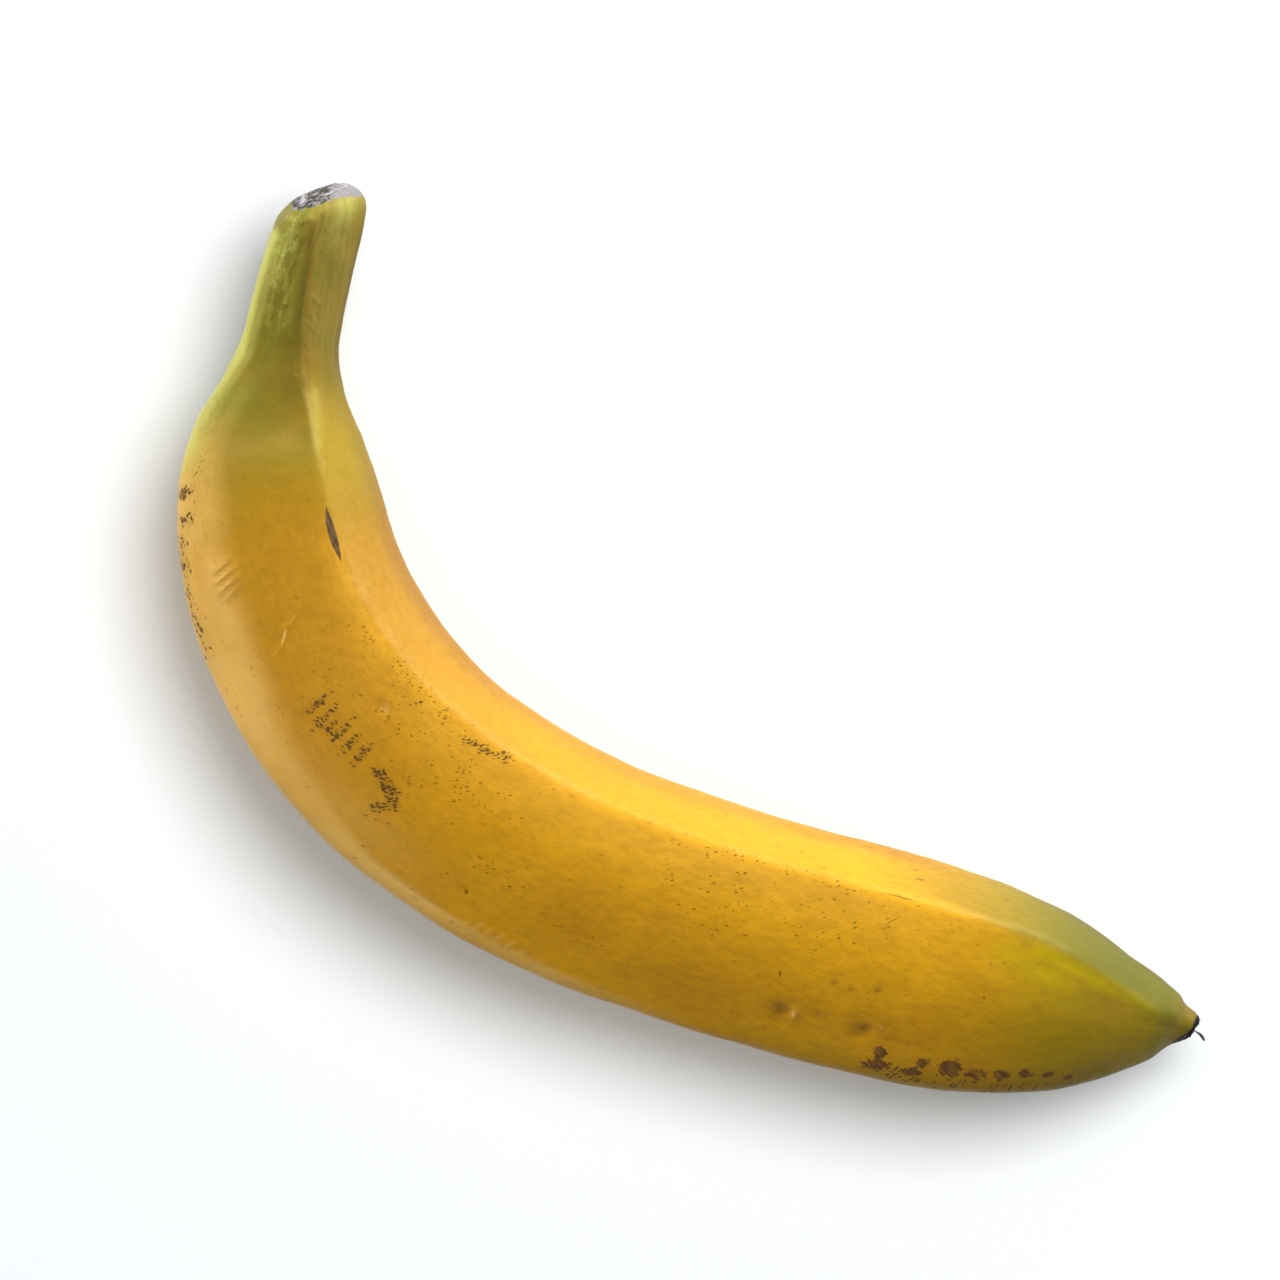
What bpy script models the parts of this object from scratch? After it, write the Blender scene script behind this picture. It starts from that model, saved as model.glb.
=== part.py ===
"""A ripe banana resting on its side, as one closed solid.

Five-sided sections with rounded ridges are set along a curved middle line, from the cut
stalk, through the neck and the body, to the blunt blossom tip. The fruit lies with its
curve flat on the table and touches it at three low points. Its straight-line reach is
along X, its hollow side faces +Y, and its origin is the middle of its box at the table.
"""

import math

import bmesh
import bpy
import numpy as np
from mathutils import Vector

# Driving dimensions, in metres
MM = 0.001
LENGTH = 219.7 * MM  # along the middle line, from the stalk's cut to the blossom tip
WIDTH = 35.3 * MM  # across the widest part, seen from above
RIM_ROUNDING = 2.8 * MM  # where the stalk's side turns into the cut face
TIP_ROUNDING = 0.8 * MM  # where the blossom tip's side turns into its blunt end
CUT_CROWN = 0.9 * MM  # how far the dried cut face swells out in its middle
TIP_CROWN = 0.3 * MM  # the same for the blossom end
CUT_LEAN = math.tan(math.radians(25))  # the cut falls back towards the outer side
CUT_TILT = math.tan(math.radians(9))  # and looks up a little
CUT_REACH = 0.11  # share of the length over which both fade away
TIP_LEAN = math.tan(math.radians(19))  # the blossom tip's end falls back likewise
TIP_REACH = 0.035
REST_FLAT = 0.06 * MM  # peel pressed flat at each of the three low points

# How fine the mesh is
RINGS = 92  # sections between the two rounded ends
END_RINGS = 4  # sections round each end's rounding
FACET_POINTS = 8  # points from one ridge to the next
CROWDING = 0.45  # how much closer together the points stand near a ridge

# Profiles: (share of the length, value), joined by a smooth curve.
# The heading turns to the left, seen from above, and X is 0 degrees.
HEADING_DEG = ((0, -53), (0.035, -62.5), (0.07, -60.5), (0.1, -57), (0.15, -54), (0.2, -44.5),
               (0.3, -23.5), (0.4, -3.2), (0.5, 12.5), (0.6, 23), (0.7, 27.5), (0.8, 29.3),
               (0.9, 32.3), (0.96, 33.5), (1, 30))
# Share of the full width
WIDTH_SHARE = ((0, 0.355), (0.035, 0.387), (0.07, 0.4), (0.1, 0.412), (0.133, 0.52),
               (0.167, 0.722), (0.2, 0.842), (0.235, 0.905), (0.3, 0.957), (0.4, 0.995),
               (0.5, 0.993), (0.6, 0.982), (0.75, 0.987), (0.8, 0.974), (0.833, 0.942),
               (0.867, 0.874), (0.9, 0.775), (0.933, 0.61), (0.967, 0.375), (0.984, 0.24),
               (0.992, 0.168), (1, 0.12))
# Thickness from the table upwards, as a share of the width there
DEPTH_SHARE = ((0, 0.9), (0.1, 0.9), (0.2, 0.95), (0.3, 0.98), (0.4, 0.96), (0.8, 0.96), (1, 1))
# Height of the middle line above the table, or None where the fruit rests on its underside
HEIGHT = ((0, 22 * MM), (0.1, 18.6 * MM), (0.2, 16.9 * MM), (0.3, None), (0.4, 17.2 * MM),
          (0.5, None), (0.65, 17.1 * MM), (0.8, None), (0.9, 15.6 * MM), (1, 14.3 * MM))

# Where the five ridges run: (share of the length, degrees round the section).
# 0 degrees is straight up, and positive angles go down the hollow side.
RIDGES_DEG = (
    ((0, -8), (0.03, 0), (0.07, 12), (0.1, 17), (0.125, 22), (0.145, 27), (0.21, 29.5), (0.3, 32),
     (0.4, 35.5), (0.48, 37.5), (0.8, 38), (0.88, 39.5), (0.91, 36), (0.943, 27), (0.97, 14), (1, 10)),
    ((0, 84), (0.2, 92), (1, 88)),
    ((0, 140), (0.3, 154), (0.5, 138), (0.8, 154), (1, 147)),
    ((0, 222), (0.3, 234), (0.5, 214), (0.8, 228), (1, 218)),
    ((0, 318), (0.07, 314), (0.12, 310), (0.16, 303), (0.22, 296), (0.3, 295), (0.42, 299),
     (0.5, 298), (0.66, 294), (1, 294)),
)
# How angular the section is: 0 is round, 1 has flat facets
ANGULAR = ((0, 0.6), (0.1, 0.75), (0.2, 0.6), (0.35, 0.62), (0.8, 0.62), (0.95, 0.5), (1, 0.2))
RIDGE_POWER = 15  # a higher power gives tighter ridges

# Hollows and swellings that are part of the form: (share along, metres across from the
# middle towards the hollow side, half length, half width, height out of the peel)
PRESSED = (
    (0.385, 2.3 * MM, 3.0 * MM, 2.6 * MM, -0.35 * MM),  # thumb dent beside the upper ridge
    (0.724, -11.0 * MM, 2.6 * MM, 2.3 * MM, -0.7 * MM),  # dent low on the outer side
    (0.777, -10.4 * MM, 3.0 * MM, 2.0 * MM, -0.6 * MM),  # its neighbour, nearer the tip
    (0.262, -9.6 * MM, 3.8 * MM, 2.6 * MM, 0.35 * MM),  # healed oval on the shoulder
)
# Slow unevenness of the peel: (height, waves along the fruit, waves round it, phase)
UNEVEN = ((0.1 * MM, 3.0, 2, 0.4), (0.1 * MM, 7.0, 1, 2.1), (0.06 * MM, 13.0, 3, 4.0))

# Finish
PEEL_COLOUR = (0.72, 0.36, 0.025)
PEEL_ROUGHNESS = 0.45


def smooth(profile, share):
    """The profile's value there, on a cubic curve that never overshoots its points."""
    places, values = np.array(profile, float).T
    slopes = np.diff(values) / np.diff(places)
    before, after = slopes[:-1], slopes[1:]
    same_way = before * after > 0
    inner = np.where(same_way, 2 * before * after / np.where(same_way, before + after, 1), 0)
    tangents = np.concatenate(([slopes[0]], inner, [slopes[-1]]))
    share = np.clip(share, places[0], places[-1])
    i = np.clip(np.searchsorted(places, share, side="right") - 1, 0, len(places) - 2)
    step = places[i + 1] - places[i]
    u = (share - places[i]) / step
    return (values[i] * (1 + 2 * u) * (1 - u) ** 2 + tangents[i] * step * u * (1 - u) ** 2
            + values[i + 1] * u * u * (3 - 2 * u) + tangents[i + 1] * step * u * u * (u - 1))


def half_width(share):
    return WIDTH / 2 * smooth(WIDTH_SHARE, share)


def half_depth(share):
    return half_width(share) * smooth(DEPTH_SHARE, share)


def middle_line(share, steps=2000):
    """Points in the middle of the fruit, as rows of x, y and z."""
    heading = np.radians(smooth(HEADING_DEG, (np.arange(steps) + 0.5) / steps))
    x = np.concatenate(([0], np.cumsum(np.cos(heading)))) * LENGTH / steps
    y = np.concatenate(([0], np.cumsum(np.sin(heading)))) * LENGTH / steps
    knots = np.linspace(0, 1, steps + 1)
    heights = [(at, half_depth(at) if height is None else height) for at, height in HEIGHT]
    return np.stack([np.interp(share, knots, x), np.interp(share, knots, y), smooth(heights, share)], -1)


def directions(share):
    """Unit rows along the fruit, towards its hollow side, and up."""
    low, high = np.clip(share - 0.01, 0, 1), np.clip(share + 0.01, 0, 1)
    heading = np.radians(smooth(HEADING_DEG, share))
    rise = (middle_line(high)[..., 2] - middle_line(low)[..., 2]) / ((high - low) * LENGTH)
    forward = np.stack([np.cos(heading), np.sin(heading), rise], -1)
    forward /= np.linalg.norm(forward, axis=-1, keepdims=True)
    side = np.stack([-np.sin(heading), np.cos(heading), 0 * heading], -1)
    return forward, side, np.cross(forward, side)


def ridge_angles(share):
    """The five ridges' angles and, as a sixth, the first one again after a full turn."""
    ridges = np.radians([smooth(ridge, share) for ridge in RIDGES_DEG])
    return np.concatenate([ridges, ridges[:1] + 2 * np.pi])


def unit_section(angle, ridges, angular):
    """Sections of size 1: flat facets and rounded ridges, mixed with a circle."""
    total = 0
    for start, end in zip(ridges, ridges[1:]):
        facing, spread = (start + end) / 2, (end - start) / 2
        total = total + np.maximum(0, np.cos(angle - facing) / np.cos(spread)) ** RIDGE_POWER
    radius = 1 - angular + angular * total ** (-1 / RIDGE_POWER)
    return radius * np.sin(angle), radius * np.cos(angle)


def section_angles(ridges):
    """Angles of a ring's points: the same number from ridge to ridge, closer near ridges."""
    u = np.arange(FACET_POINTS) / FACET_POINTS
    u = u - CROWDING * np.sin(2 * np.pi * u) / (2 * np.pi)
    return np.concatenate([start + u[:, None] * (end - start) for start, end in zip(ridges, ridges[1:])])


def relief(share, across, angle):
    """Height of the peel over its plain section: slow unevenness, dents and swellings."""
    height = 0
    for size, waves, around, phase in UNEVEN:
        height = height + size * np.sin(2 * np.pi * waves * share + phase) * np.cos(around * angle + phase)
    height = height * np.sin(np.pi * share)
    for place, offset, half_length, half_wide, out in PRESSED:
        distance = np.hypot((share - place) * LENGTH / half_length, (across - offset) / half_wide)
        height = height + out * np.exp(-1.4 * distance ** 2)
    underside = np.clip(1 + 2 * np.cos(angle), 0, 1)  # it keeps its plain form, and rests truly
    return height * underside


def skin(share, inset):
    """Rows of points, one row a section, each drawn in from the side by its inset."""
    ridges = ridge_angles(share)
    angular = smooth(ANGULAR, share)
    all_round = np.radians(np.arange(0, 360, 2))[:, None]
    y_all, z_all = unit_section(all_round, ridges, angular)
    angle = section_angles(ridges)
    y, z = unit_section(angle, ridges, angular)
    y = (2 * y - y_all.max(0) - y_all.min(0)) / np.ptp(y_all, axis=0) * half_width(share)
    z = (2 * z - z_all.max(0) - z_all.min(0)) / np.ptp(z_all, axis=0) * half_depth(share)
    out = relief(share, y, angle) - inset
    y, z = y + out * np.sin(angle), z + out * np.cos(angle)
    at_cut = np.clip(1 - share / CUT_REACH, 0, 1) ** 2
    at_tip = np.clip(1 - (1 - share) / TIP_REACH, 0, 1) ** 2
    lean = at_cut * (CUT_TILT * z - CUT_LEAN * y) + at_tip * TIP_LEAN * y
    forward, side, up = directions(share)
    points = (middle_line(share) + side * y[..., None] + up * z[..., None] + forward * lean[..., None])
    return points.swapaxes(0, 1)


def sections():
    """Share of the length and inset of every ring: a quarter turn at each end, and the body."""
    turn = np.pi / 2 * np.arange(END_RINGS) / END_RINGS
    depth, inset = 1 - np.cos(turn), 1 - np.sin(turn)
    start, end = RIM_ROUNDING / LENGTH, 1 - TIP_ROUNDING / LENGTH
    u = np.arange(RINGS + 1) / RINGS
    u = u - CROWDING * np.sin(2 * np.pi * u) / (2 * np.pi)
    tip_turn = slice(None, None, -1)
    share = np.concatenate([depth * start, start + u * (end - start), 1 - (depth * (1 - end))[tip_turn]])
    inset = np.concatenate([inset * RIM_ROUNDING, 0 * u, (inset * TIP_ROUNDING)[tip_turn]])
    return share, inset


def end_cap(rim, outward, crown):
    """Two smaller copies of a rim, swelling outward, and then the point in its middle."""
    middle = rim.mean(axis=0)
    rows = [middle + (rim - middle) * size + outward * crown * (1 - size ** 2) for size in (0.7, 0.35)]
    return rows, middle + outward * crown


def banana_mesh():
    """Joins the rings by quads and closes both ends round a middle point."""
    rings = list(skin(*sections()))
    forward = directions(np.array([0.0, 1.0]))[0]
    cut_rows, cut_middle = end_cap(rings[0], -forward[0], CUT_CROWN)
    tip_rows, tip_middle = end_cap(rings[-1], forward[1], TIP_CROWN)
    bm = bmesh.new()
    rows = [[bm.verts.new(point) for point in row] for row in cut_rows[::-1] + rings + tip_rows]
    around = len(rows[0])
    for row, following in zip(rows, rows[1:]):
        for k in range(around):
            after = (k + 1) % around
            bm.faces.new((row[k], row[after], following[after], following[k]))
    for row, point in ((rows[0], cut_middle), (rows[-1], tip_middle)):
        middle = bm.verts.new(point)
        for k in range(around):
            bm.faces.new((middle, row[k], row[(k + 1) % around]))
    bmesh.ops.recalc_face_normals(bm, faces=bm.faces)
    return bm


def press_flat(bm):
    """Takes the lowest sliver of peel off level, so that the fruit rests on three flats."""
    cut = bmesh.ops.bisect_plane(
        bm, geom=bm.verts[:] + bm.edges[:] + bm.faces[:], plane_co=(0, 0, REST_FLAT),
        plane_no=(0, 0, 1), clear_inner=True, dist=1e-7)
    rim = [item for item in cut["geom_cut"] if isinstance(item, bmesh.types.BMEdge)]
    bmesh.ops.holes_fill(bm, edges=rim, sides=0)


def stand_on_origin(bm):
    """Moves the mesh so that the origin is its box's middle, at the table."""
    corners = np.array([vertex.co for vertex in bm.verts])
    low, high = corners.min(axis=0), corners.max(axis=0)
    shift = Vector((-(low[0] + high[0]) / 2, -(low[1] + high[1]) / 2, -low[2]))
    bmesh.ops.translate(bm, verts=bm.verts, vec=shift)


def peel():
    """A plain ripe yellow."""
    material = bpy.data.materials.new("peel")
    material.use_nodes = True
    shader = material.node_tree.nodes["Principled BSDF"]
    shader.inputs["Base Color"].default_value = (*PEEL_COLOUR, 1)
    shader.inputs["Roughness"].default_value = PEEL_ROUGHNESS
    return material


def main():
    for old in list(bpy.data.objects):
        bpy.data.objects.remove(old, do_unlink=True)
    bm = banana_mesh()
    press_flat(bm)
    stand_on_origin(bm)
    mesh = bpy.data.meshes.new("banana")
    bm.to_mesh(mesh)
    bm.free()
    mesh.materials.append(peel())
    mesh.shade_smooth()
    mesh.set_sharp_from_angle(angle=math.radians(50))
    banana = bpy.data.objects.new("banana", mesh)
    bpy.context.scene.collection.objects.link(banana)


main()
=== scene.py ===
# %% [markdown]
# # A ripe banana, lying on its side
#
# The CAD model of this part is one plain solid: a five-sided body with rounded ridges, bent
# along a curved middle line. This lesson dresses it. It grows a finer peel from the same
# measures, works the small dents and scars into it, colours it with nodes, and adds the dry
# cut at the stalk and the dry remains of the flower at the tip. The solid is loaded first,
# because everything else is placed in its frame: metres, Z up, the table at height zero.

import math

import bpy
import numpy as np
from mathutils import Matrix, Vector, noise


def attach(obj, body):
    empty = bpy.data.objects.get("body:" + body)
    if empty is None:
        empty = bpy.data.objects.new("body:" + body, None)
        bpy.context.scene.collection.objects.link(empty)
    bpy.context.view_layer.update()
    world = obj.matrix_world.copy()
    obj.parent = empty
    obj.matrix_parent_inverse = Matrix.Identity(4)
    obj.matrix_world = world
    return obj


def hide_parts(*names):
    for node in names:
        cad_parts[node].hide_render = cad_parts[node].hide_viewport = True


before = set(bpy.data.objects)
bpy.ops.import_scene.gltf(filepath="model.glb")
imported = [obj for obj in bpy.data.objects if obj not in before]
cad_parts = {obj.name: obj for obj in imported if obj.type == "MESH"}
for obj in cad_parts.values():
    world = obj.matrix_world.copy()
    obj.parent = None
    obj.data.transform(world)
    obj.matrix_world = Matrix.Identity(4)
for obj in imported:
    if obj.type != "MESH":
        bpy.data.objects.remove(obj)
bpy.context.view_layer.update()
scene = bpy.context.scene
print("CAD nodes:", sorted(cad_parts))

# %% [markdown]
# ## The camera
#
# The fruit is seen from straight above, with its stalk at the upper left. A camera that is
# far away and has a long lens shows it without distortion, so the outline in the picture is
# the outline of the solid. Turning the camera about the vertical is simpler than turning the
# fruit, which has to stay where the solid is. It comes first, so that every later step can be
# looked at from the right place.

# %% Set up the camera overhead
MM = 0.001
VIEW_MIDDLE = (-8.81 * MM, 16.9 * MM)  # the point of the table in the middle of the picture
VIEW_WIDTH = 194.56 * MM  # across the picture, at the height of the fruit's middle
VIEW_TURN = math.radians(43.33)
CAMERA_HEIGHT = 2.0
MIDDLE_HEIGHT = 16.7 * MM
SENSOR_WIDTH = 36  # in millimetres, as lenses are

camera_data = bpy.data.cameras.new("overhead")
camera_data.sensor_width = SENSOR_WIDTH
camera_data.lens = SENSOR_WIDTH * (CAMERA_HEIGHT - MIDDLE_HEIGHT) / VIEW_WIDTH
camera_data.clip_start, camera_data.clip_end = 0.1, 20
camera = bpy.data.objects.new("overhead", camera_data)
camera.location = (*VIEW_MIDDLE, CAMERA_HEIGHT)
camera.rotation_euler = (0, 0, VIEW_TURN)
scene.collection.objects.link(camera)
scene.camera = camera
print("camera lens, mm:", round(camera_data.lens, 1))

# %% [markdown]
# ## The measures of the fruit
#
# A banana's form follows a few profiles along its length: where the middle line is heading,
# how wide and how thick it is, how high it lies, how angular its section is, and where its
# five ridges run. They are the same measures that the solid was made from, each a short list
# of places and values. A cubic curve joins the values. It is limited at each point so that it
# never swings beyond them, because an overshoot would show as a bulge in the peel.

# %% Profiles along the fruit
LENGTH = 219.7 * MM  # along the middle line, from the stalk's cut to the blossom tip
WIDTH = 35.3 * MM  # across the widest part, seen from above
RIM_ROUNDING = 2.8 * MM  # where the side of the stalk turns into the cut
TIP_ROUNDING = 0.8 * MM  # where the side of the tip turns into its blunt end
CUT_CROWN = 0.9 * MM  # how far the stalk's end swells out in its middle
TIP_CROWN = 0.3 * MM  # the same for the tip
CUT_LEAN = math.tan(math.radians(25))  # the cut falls back towards the outer side
CUT_TILT = math.tan(math.radians(9))  # and looks up a little
CUT_REACH = 0.11  # share of the length over which both fade away
TIP_LEAN = math.tan(math.radians(19))  # the end of the tip falls back likewise
TIP_REACH = 0.035

# Each profile is a list of (share of the length, value).
# The heading turns to the left, seen from above, and X is 0 degrees.
HEADING_DEG = ((0, -53), (0.035, -62.5), (0.07, -60.5), (0.1, -57), (0.15, -54), (0.2, -44.5),
               (0.3, -23.5), (0.4, -3.2), (0.5, 12.5), (0.6, 23), (0.7, 27.5), (0.8, 29.3),
               (0.9, 32.3), (0.96, 33.5), (1, 30))
# Share of the full width, and thickness as a share of the width there
WIDTH_SHARE = ((0, 0.355), (0.035, 0.387), (0.07, 0.4), (0.1, 0.412), (0.133, 0.52),
               (0.167, 0.722), (0.2, 0.842), (0.235, 0.905), (0.3, 0.957), (0.4, 0.995),
               (0.5, 0.993), (0.6, 0.982), (0.75, 0.987), (0.8, 0.974), (0.833, 0.942),
               (0.867, 0.874), (0.9, 0.775), (0.933, 0.61), (0.967, 0.375), (0.984, 0.24),
               (0.992, 0.168), (1, 0.12))
DEPTH_SHARE = ((0, 0.9), (0.1, 0.9), (0.2, 0.95), (0.3, 0.98), (0.4, 0.96), (0.8, 0.96), (1, 1))
# Height of the middle line above the table, or None where the fruit rests on its underside
HEIGHT = ((0, 22 * MM), (0.1, 18.6 * MM), (0.2, 16.9 * MM), (0.3, None), (0.4, 17.2 * MM),
          (0.5, None), (0.65, 17.1 * MM), (0.8, None), (0.9, 15.6 * MM), (1, 14.3 * MM))
# Degrees round the section: 0 is straight up, and positive angles go down the hollow side
RIDGES_DEG = (
    ((0, -8), (0.03, 0), (0.07, 12), (0.1, 17), (0.125, 22), (0.145, 27), (0.21, 29.5), (0.3, 32),
     (0.4, 35.5), (0.48, 37.5), (0.8, 38), (0.88, 39.5), (0.91, 36), (0.943, 27), (0.97, 14), (1, 10)),
    ((0, 84), (0.2, 92), (1, 88)),
    ((0, 140), (0.3, 154), (0.5, 138), (0.8, 154), (1, 147)),
    ((0, 222), (0.3, 234), (0.5, 214), (0.8, 228), (1, 218)),
    ((0, 318), (0.07, 314), (0.12, 310), (0.16, 303), (0.22, 296), (0.3, 295), (0.42, 299),
     (0.5, 298), (0.66, 294), (1, 294)),
)
# How angular the section is: 0 is round, 1 has flat facets
ANGULAR = ((0, 0.6), (0.1, 0.75), (0.2, 0.6), (0.35, 0.62), (0.8, 0.62), (0.95, 0.5), (1, 0.2))
RIDGE_POWER = 15  # a higher power gives tighter ridges


def smooth(profile, share):
    """The profile's value there, on a cubic curve that never overshoots its points."""
    places, values = np.array(profile, float).T
    slopes = np.diff(values) / np.diff(places)
    before, after = slopes[:-1], slopes[1:]
    same_way = before * after > 0
    inner = np.where(same_way, 2 * before * after / np.where(same_way, before + after, 1), 0)
    tangents = np.concatenate(([slopes[0]], inner, [slopes[-1]]))
    share = np.clip(share, places[0], places[-1])
    i = np.clip(np.searchsorted(places, share, side="right") - 1, 0, len(places) - 2)
    step = places[i + 1] - places[i]
    u = (share - places[i]) / step
    return (values[i] * (1 + 2 * u) * (1 - u) ** 2 + tangents[i] * step * u * (1 - u) ** 2
            + values[i + 1] * u * u * (3 - 2 * u) + tangents[i + 1] * step * u * u * (u - 1))


def half_width(share):
    return WIDTH / 2 * smooth(WIDTH_SHARE, share)


def half_depth(share):
    return half_width(share) * smooth(DEPTH_SHARE, share)


print("half width at the middle, mm:", round(float(half_width(0.5)) * 1000, 2))

# %% [markdown]
# The middle line is walked in small steps, each turned to the heading there. At each ring the
# fruit also needs three directions: along itself, towards its hollow side, and up.

# %% The middle line and its directions
# Where the middle line starts in the frame, with the peel pressed a little into the table
SHIFT = np.array([-90.119, 33.361, -0.06]) * MM
SLOPE_REACH = 0.01  # share of the length, before and after, over which the climb is measured


def middle_line(share, steps=2000):
    heading = np.radians(smooth(HEADING_DEG, (np.arange(steps) + 0.5) / steps))
    x = np.concatenate(([0], np.cumsum(np.cos(heading)))) * LENGTH / steps
    y = np.concatenate(([0], np.cumsum(np.sin(heading)))) * LENGTH / steps
    knots = np.linspace(0, 1, steps + 1)
    heights = [(at, half_depth(at) if height is None else height) for at, height in HEIGHT]
    rows = np.interp(share, knots, x), np.interp(share, knots, y), smooth(heights, share)
    return np.stack(rows, -1) + SHIFT


def directions(share):
    """Unit rows along the fruit, towards its hollow side, and up."""
    low, high = np.clip(share - SLOPE_REACH, 0, 1), np.clip(share + SLOPE_REACH, 0, 1)
    heading = np.radians(smooth(HEADING_DEG, share))
    rise = (middle_line(high)[..., 2] - middle_line(low)[..., 2]) / ((high - low) * LENGTH)
    forward = np.stack([np.cos(heading), np.sin(heading), rise], -1)
    forward /= np.linalg.norm(forward, axis=-1, keepdims=True)
    side = np.stack([-np.sin(heading), np.cos(heading), 0 * heading], -1)
    return forward, side, np.cross(forward, side)


ends = middle_line(np.array([0.0, 1.0]))
print("stalk and tip, mm:", np.round(1000 * ends, 1).tolist())

# %% [markdown]
# ## Helpers for node trees
#
# Both the shapes and the finishes are built from nodes. One helper adds a node, sets its
# options and fills its inputs, and another runs a finished Geometry Nodes tree on a mesh and
# keeps the result as a plain mesh. The inputs of a tree have names, and are set by their
# identifiers.

# %% Node helpers
def node(tree, kind, inputs=None, **options):
    """Adds a node, sets its options, and fills inputs with values or other nodes' outputs."""
    made = tree.nodes.new(kind)
    for option, value in options.items():
        setattr(made, option, value)
    for key, value in (inputs or {}).items():
        socket = made.inputs[key]
        if isinstance(value, bpy.types.NodeSocket):
            tree.links.new(value, socket)
        else:
            socket.default_value = value
    return made


def maths(tree, operation, *values):
    inputs = dict(enumerate(values))
    return node(tree, "ShaderNodeMath", inputs, operation=operation).outputs[0]


def vector_maths(tree, operation, *values):
    inputs = dict(enumerate(values))
    return node(tree, "ShaderNodeVectorMath", inputs, operation=operation).outputs[0]


def scaled(tree, vector, factor):
    made = node(tree, "ShaderNodeVectorMath", {0: vector, "Scale": factor}, operation="SCALE")
    return made.outputs[0]


def new_tree(name, sizes):
    """A Geometry Nodes tree with named inputs, and its first and last node."""
    tree = bpy.data.node_groups.new(name, "GeometryNodeTree")
    tree.interface.new_socket("Geometry", in_out="INPUT", socket_type="NodeSocketGeometry")
    tree.interface.new_socket("Geometry", in_out="OUTPUT", socket_type="NodeSocketGeometry")
    for label, kind in sizes.items():
        tree.interface.new_socket(label, in_out="INPUT", socket_type="NodeSocket" + kind)
    return tree, tree.nodes.new("NodeGroupInput"), tree.nodes.new("NodeGroupOutput")


def run_tree(tree, start, name, values):
    """Runs a tree on a mesh with these input values, and returns a plain mesh object."""
    carrier = bpy.data.objects.new(name + "_start", start)
    scene.collection.objects.link(carrier)
    modifier = carrier.modifiers.new("grow", "NODES")
    modifier.node_group = tree
    for item in tree.interface.items_tree:
        if item.item_type == "SOCKET" and item.in_out == "INPUT" and item.name in values:
            modifier[item.identifier] = values[item.name]
    graph = bpy.context.evaluated_depsgraph_get()
    mesh = bpy.data.meshes.new_from_object(
        carrier.evaluated_get(graph), preserve_all_data_layers=True, depsgraph=graph)
    bpy.data.objects.remove(carrier, do_unlink=True)
    mesh.name = name
    piece = bpy.data.objects.new(name, mesh)
    scene.collection.objects.link(piece)
    return piece


def triangles(mesh):
    return sum(len(polygon.vertices) - 2 for polygon in mesh.polygons)


def volume(mesh):
    """Signed volume: it is positive if the faces point outwards."""
    mesh.calc_loop_triangles()
    points = np.empty(len(mesh.vertices) * 3)
    corners = np.empty(len(mesh.loop_triangles) * 3, int)
    mesh.vertices.foreach_get("co", points)
    mesh.loop_triangles.foreach_get("vertices", corners)
    a, b, c = points.reshape(-1, 3)[corners.reshape(-1, 3)].swapaxes(0, 1)
    return float(np.einsum("ij,ij->i", a, np.cross(b, c)).sum() / 6)


print("node helpers ready")

# %% [markdown]
# ## The guide of the peel
#
# A peel follows a path, so it can be swept: a ring of points is carried along a line and
# takes its size and shape from the place. The line here is a mesh of single points, one for
# each ring, joined by edges. Each point carries what its ring needs as named attributes:
# the directions, the sizes, and the angles of the five ridges. Beyond the last full ring at
# each end the rings turn over the rim and then close to one point.

# %% Rings from pole to pole
BODY_RINGS = 560
RIM_RINGS = 9  # in the rounding at each end
CAP_RINGS = 9  # from each rounding to the middle of the end
END_CROWDING = 0.45  # how much closer together the rings of the body stand near its ends
SECTION_STEP = 2  # degrees between the points at which a section is measured


def ring_places():
    """Share of the length, inset from the side, size and outward push of every ring."""
    turn = np.pi / 2 * np.arange(RIM_RINGS) / RIM_RINGS
    depth, inset = 1 - np.cos(turn), 1 - np.sin(turn)
    start, end = RIM_ROUNDING / LENGTH, 1 - TIP_ROUNDING / LENGTH
    u = np.arange(BODY_RINGS + 1) / BODY_RINGS
    u = u - END_CROWDING * np.sin(2 * np.pi * u) / (2 * np.pi)
    size = np.arange(CAP_RINGS) / CAP_RINGS
    back = slice(None, None, -1)
    share = np.concatenate([0 * size, depth * start, start + u * (end - start),
                            1 - (depth * (1 - end))[back], 1 + 0 * size])
    inset = np.concatenate([0 * size + RIM_ROUNDING, inset * RIM_ROUNDING, 0 * u,
                            (inset * TIP_ROUNDING)[back], 0 * size + TIP_ROUNDING])
    whole = np.ones(2 * RIM_RINGS + BODY_RINGS + 1)
    push = np.concatenate([-CUT_CROWN * (1 - size ** 2), 0 * whole, (TIP_CROWN * (1 - size ** 2))[back]])
    return share, inset, np.concatenate([size, whole, size[back]]), push


def unit_section(angle, ridges, angular):
    """Sections of size 1: flat facets and rounded ridges, mixed with a circle."""
    total = 0
    for start, end in zip(ridges, ridges[1:]):
        facing, spread = (start + end) / 2, (end - start) / 2
        total = total + np.maximum(0, np.cos(angle - facing) / np.cos(spread)) ** RIDGE_POWER
    radius = 1 - angular + angular * total ** (-1 / RIDGE_POWER)
    return radius * np.sin(angle), radius * np.cos(angle)


def write(mesh, name, values):
    """Stores a number on each point of a mesh, or a vector where the values are rows of three."""
    values = values.astype(np.float32)
    kind, field = ("FLOAT_VECTOR", "vector") if values.ndim == 2 else ("FLOAT", "value")
    mesh.attributes.new(name, kind, "POINT").data.foreach_set(field, values.ravel())


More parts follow.
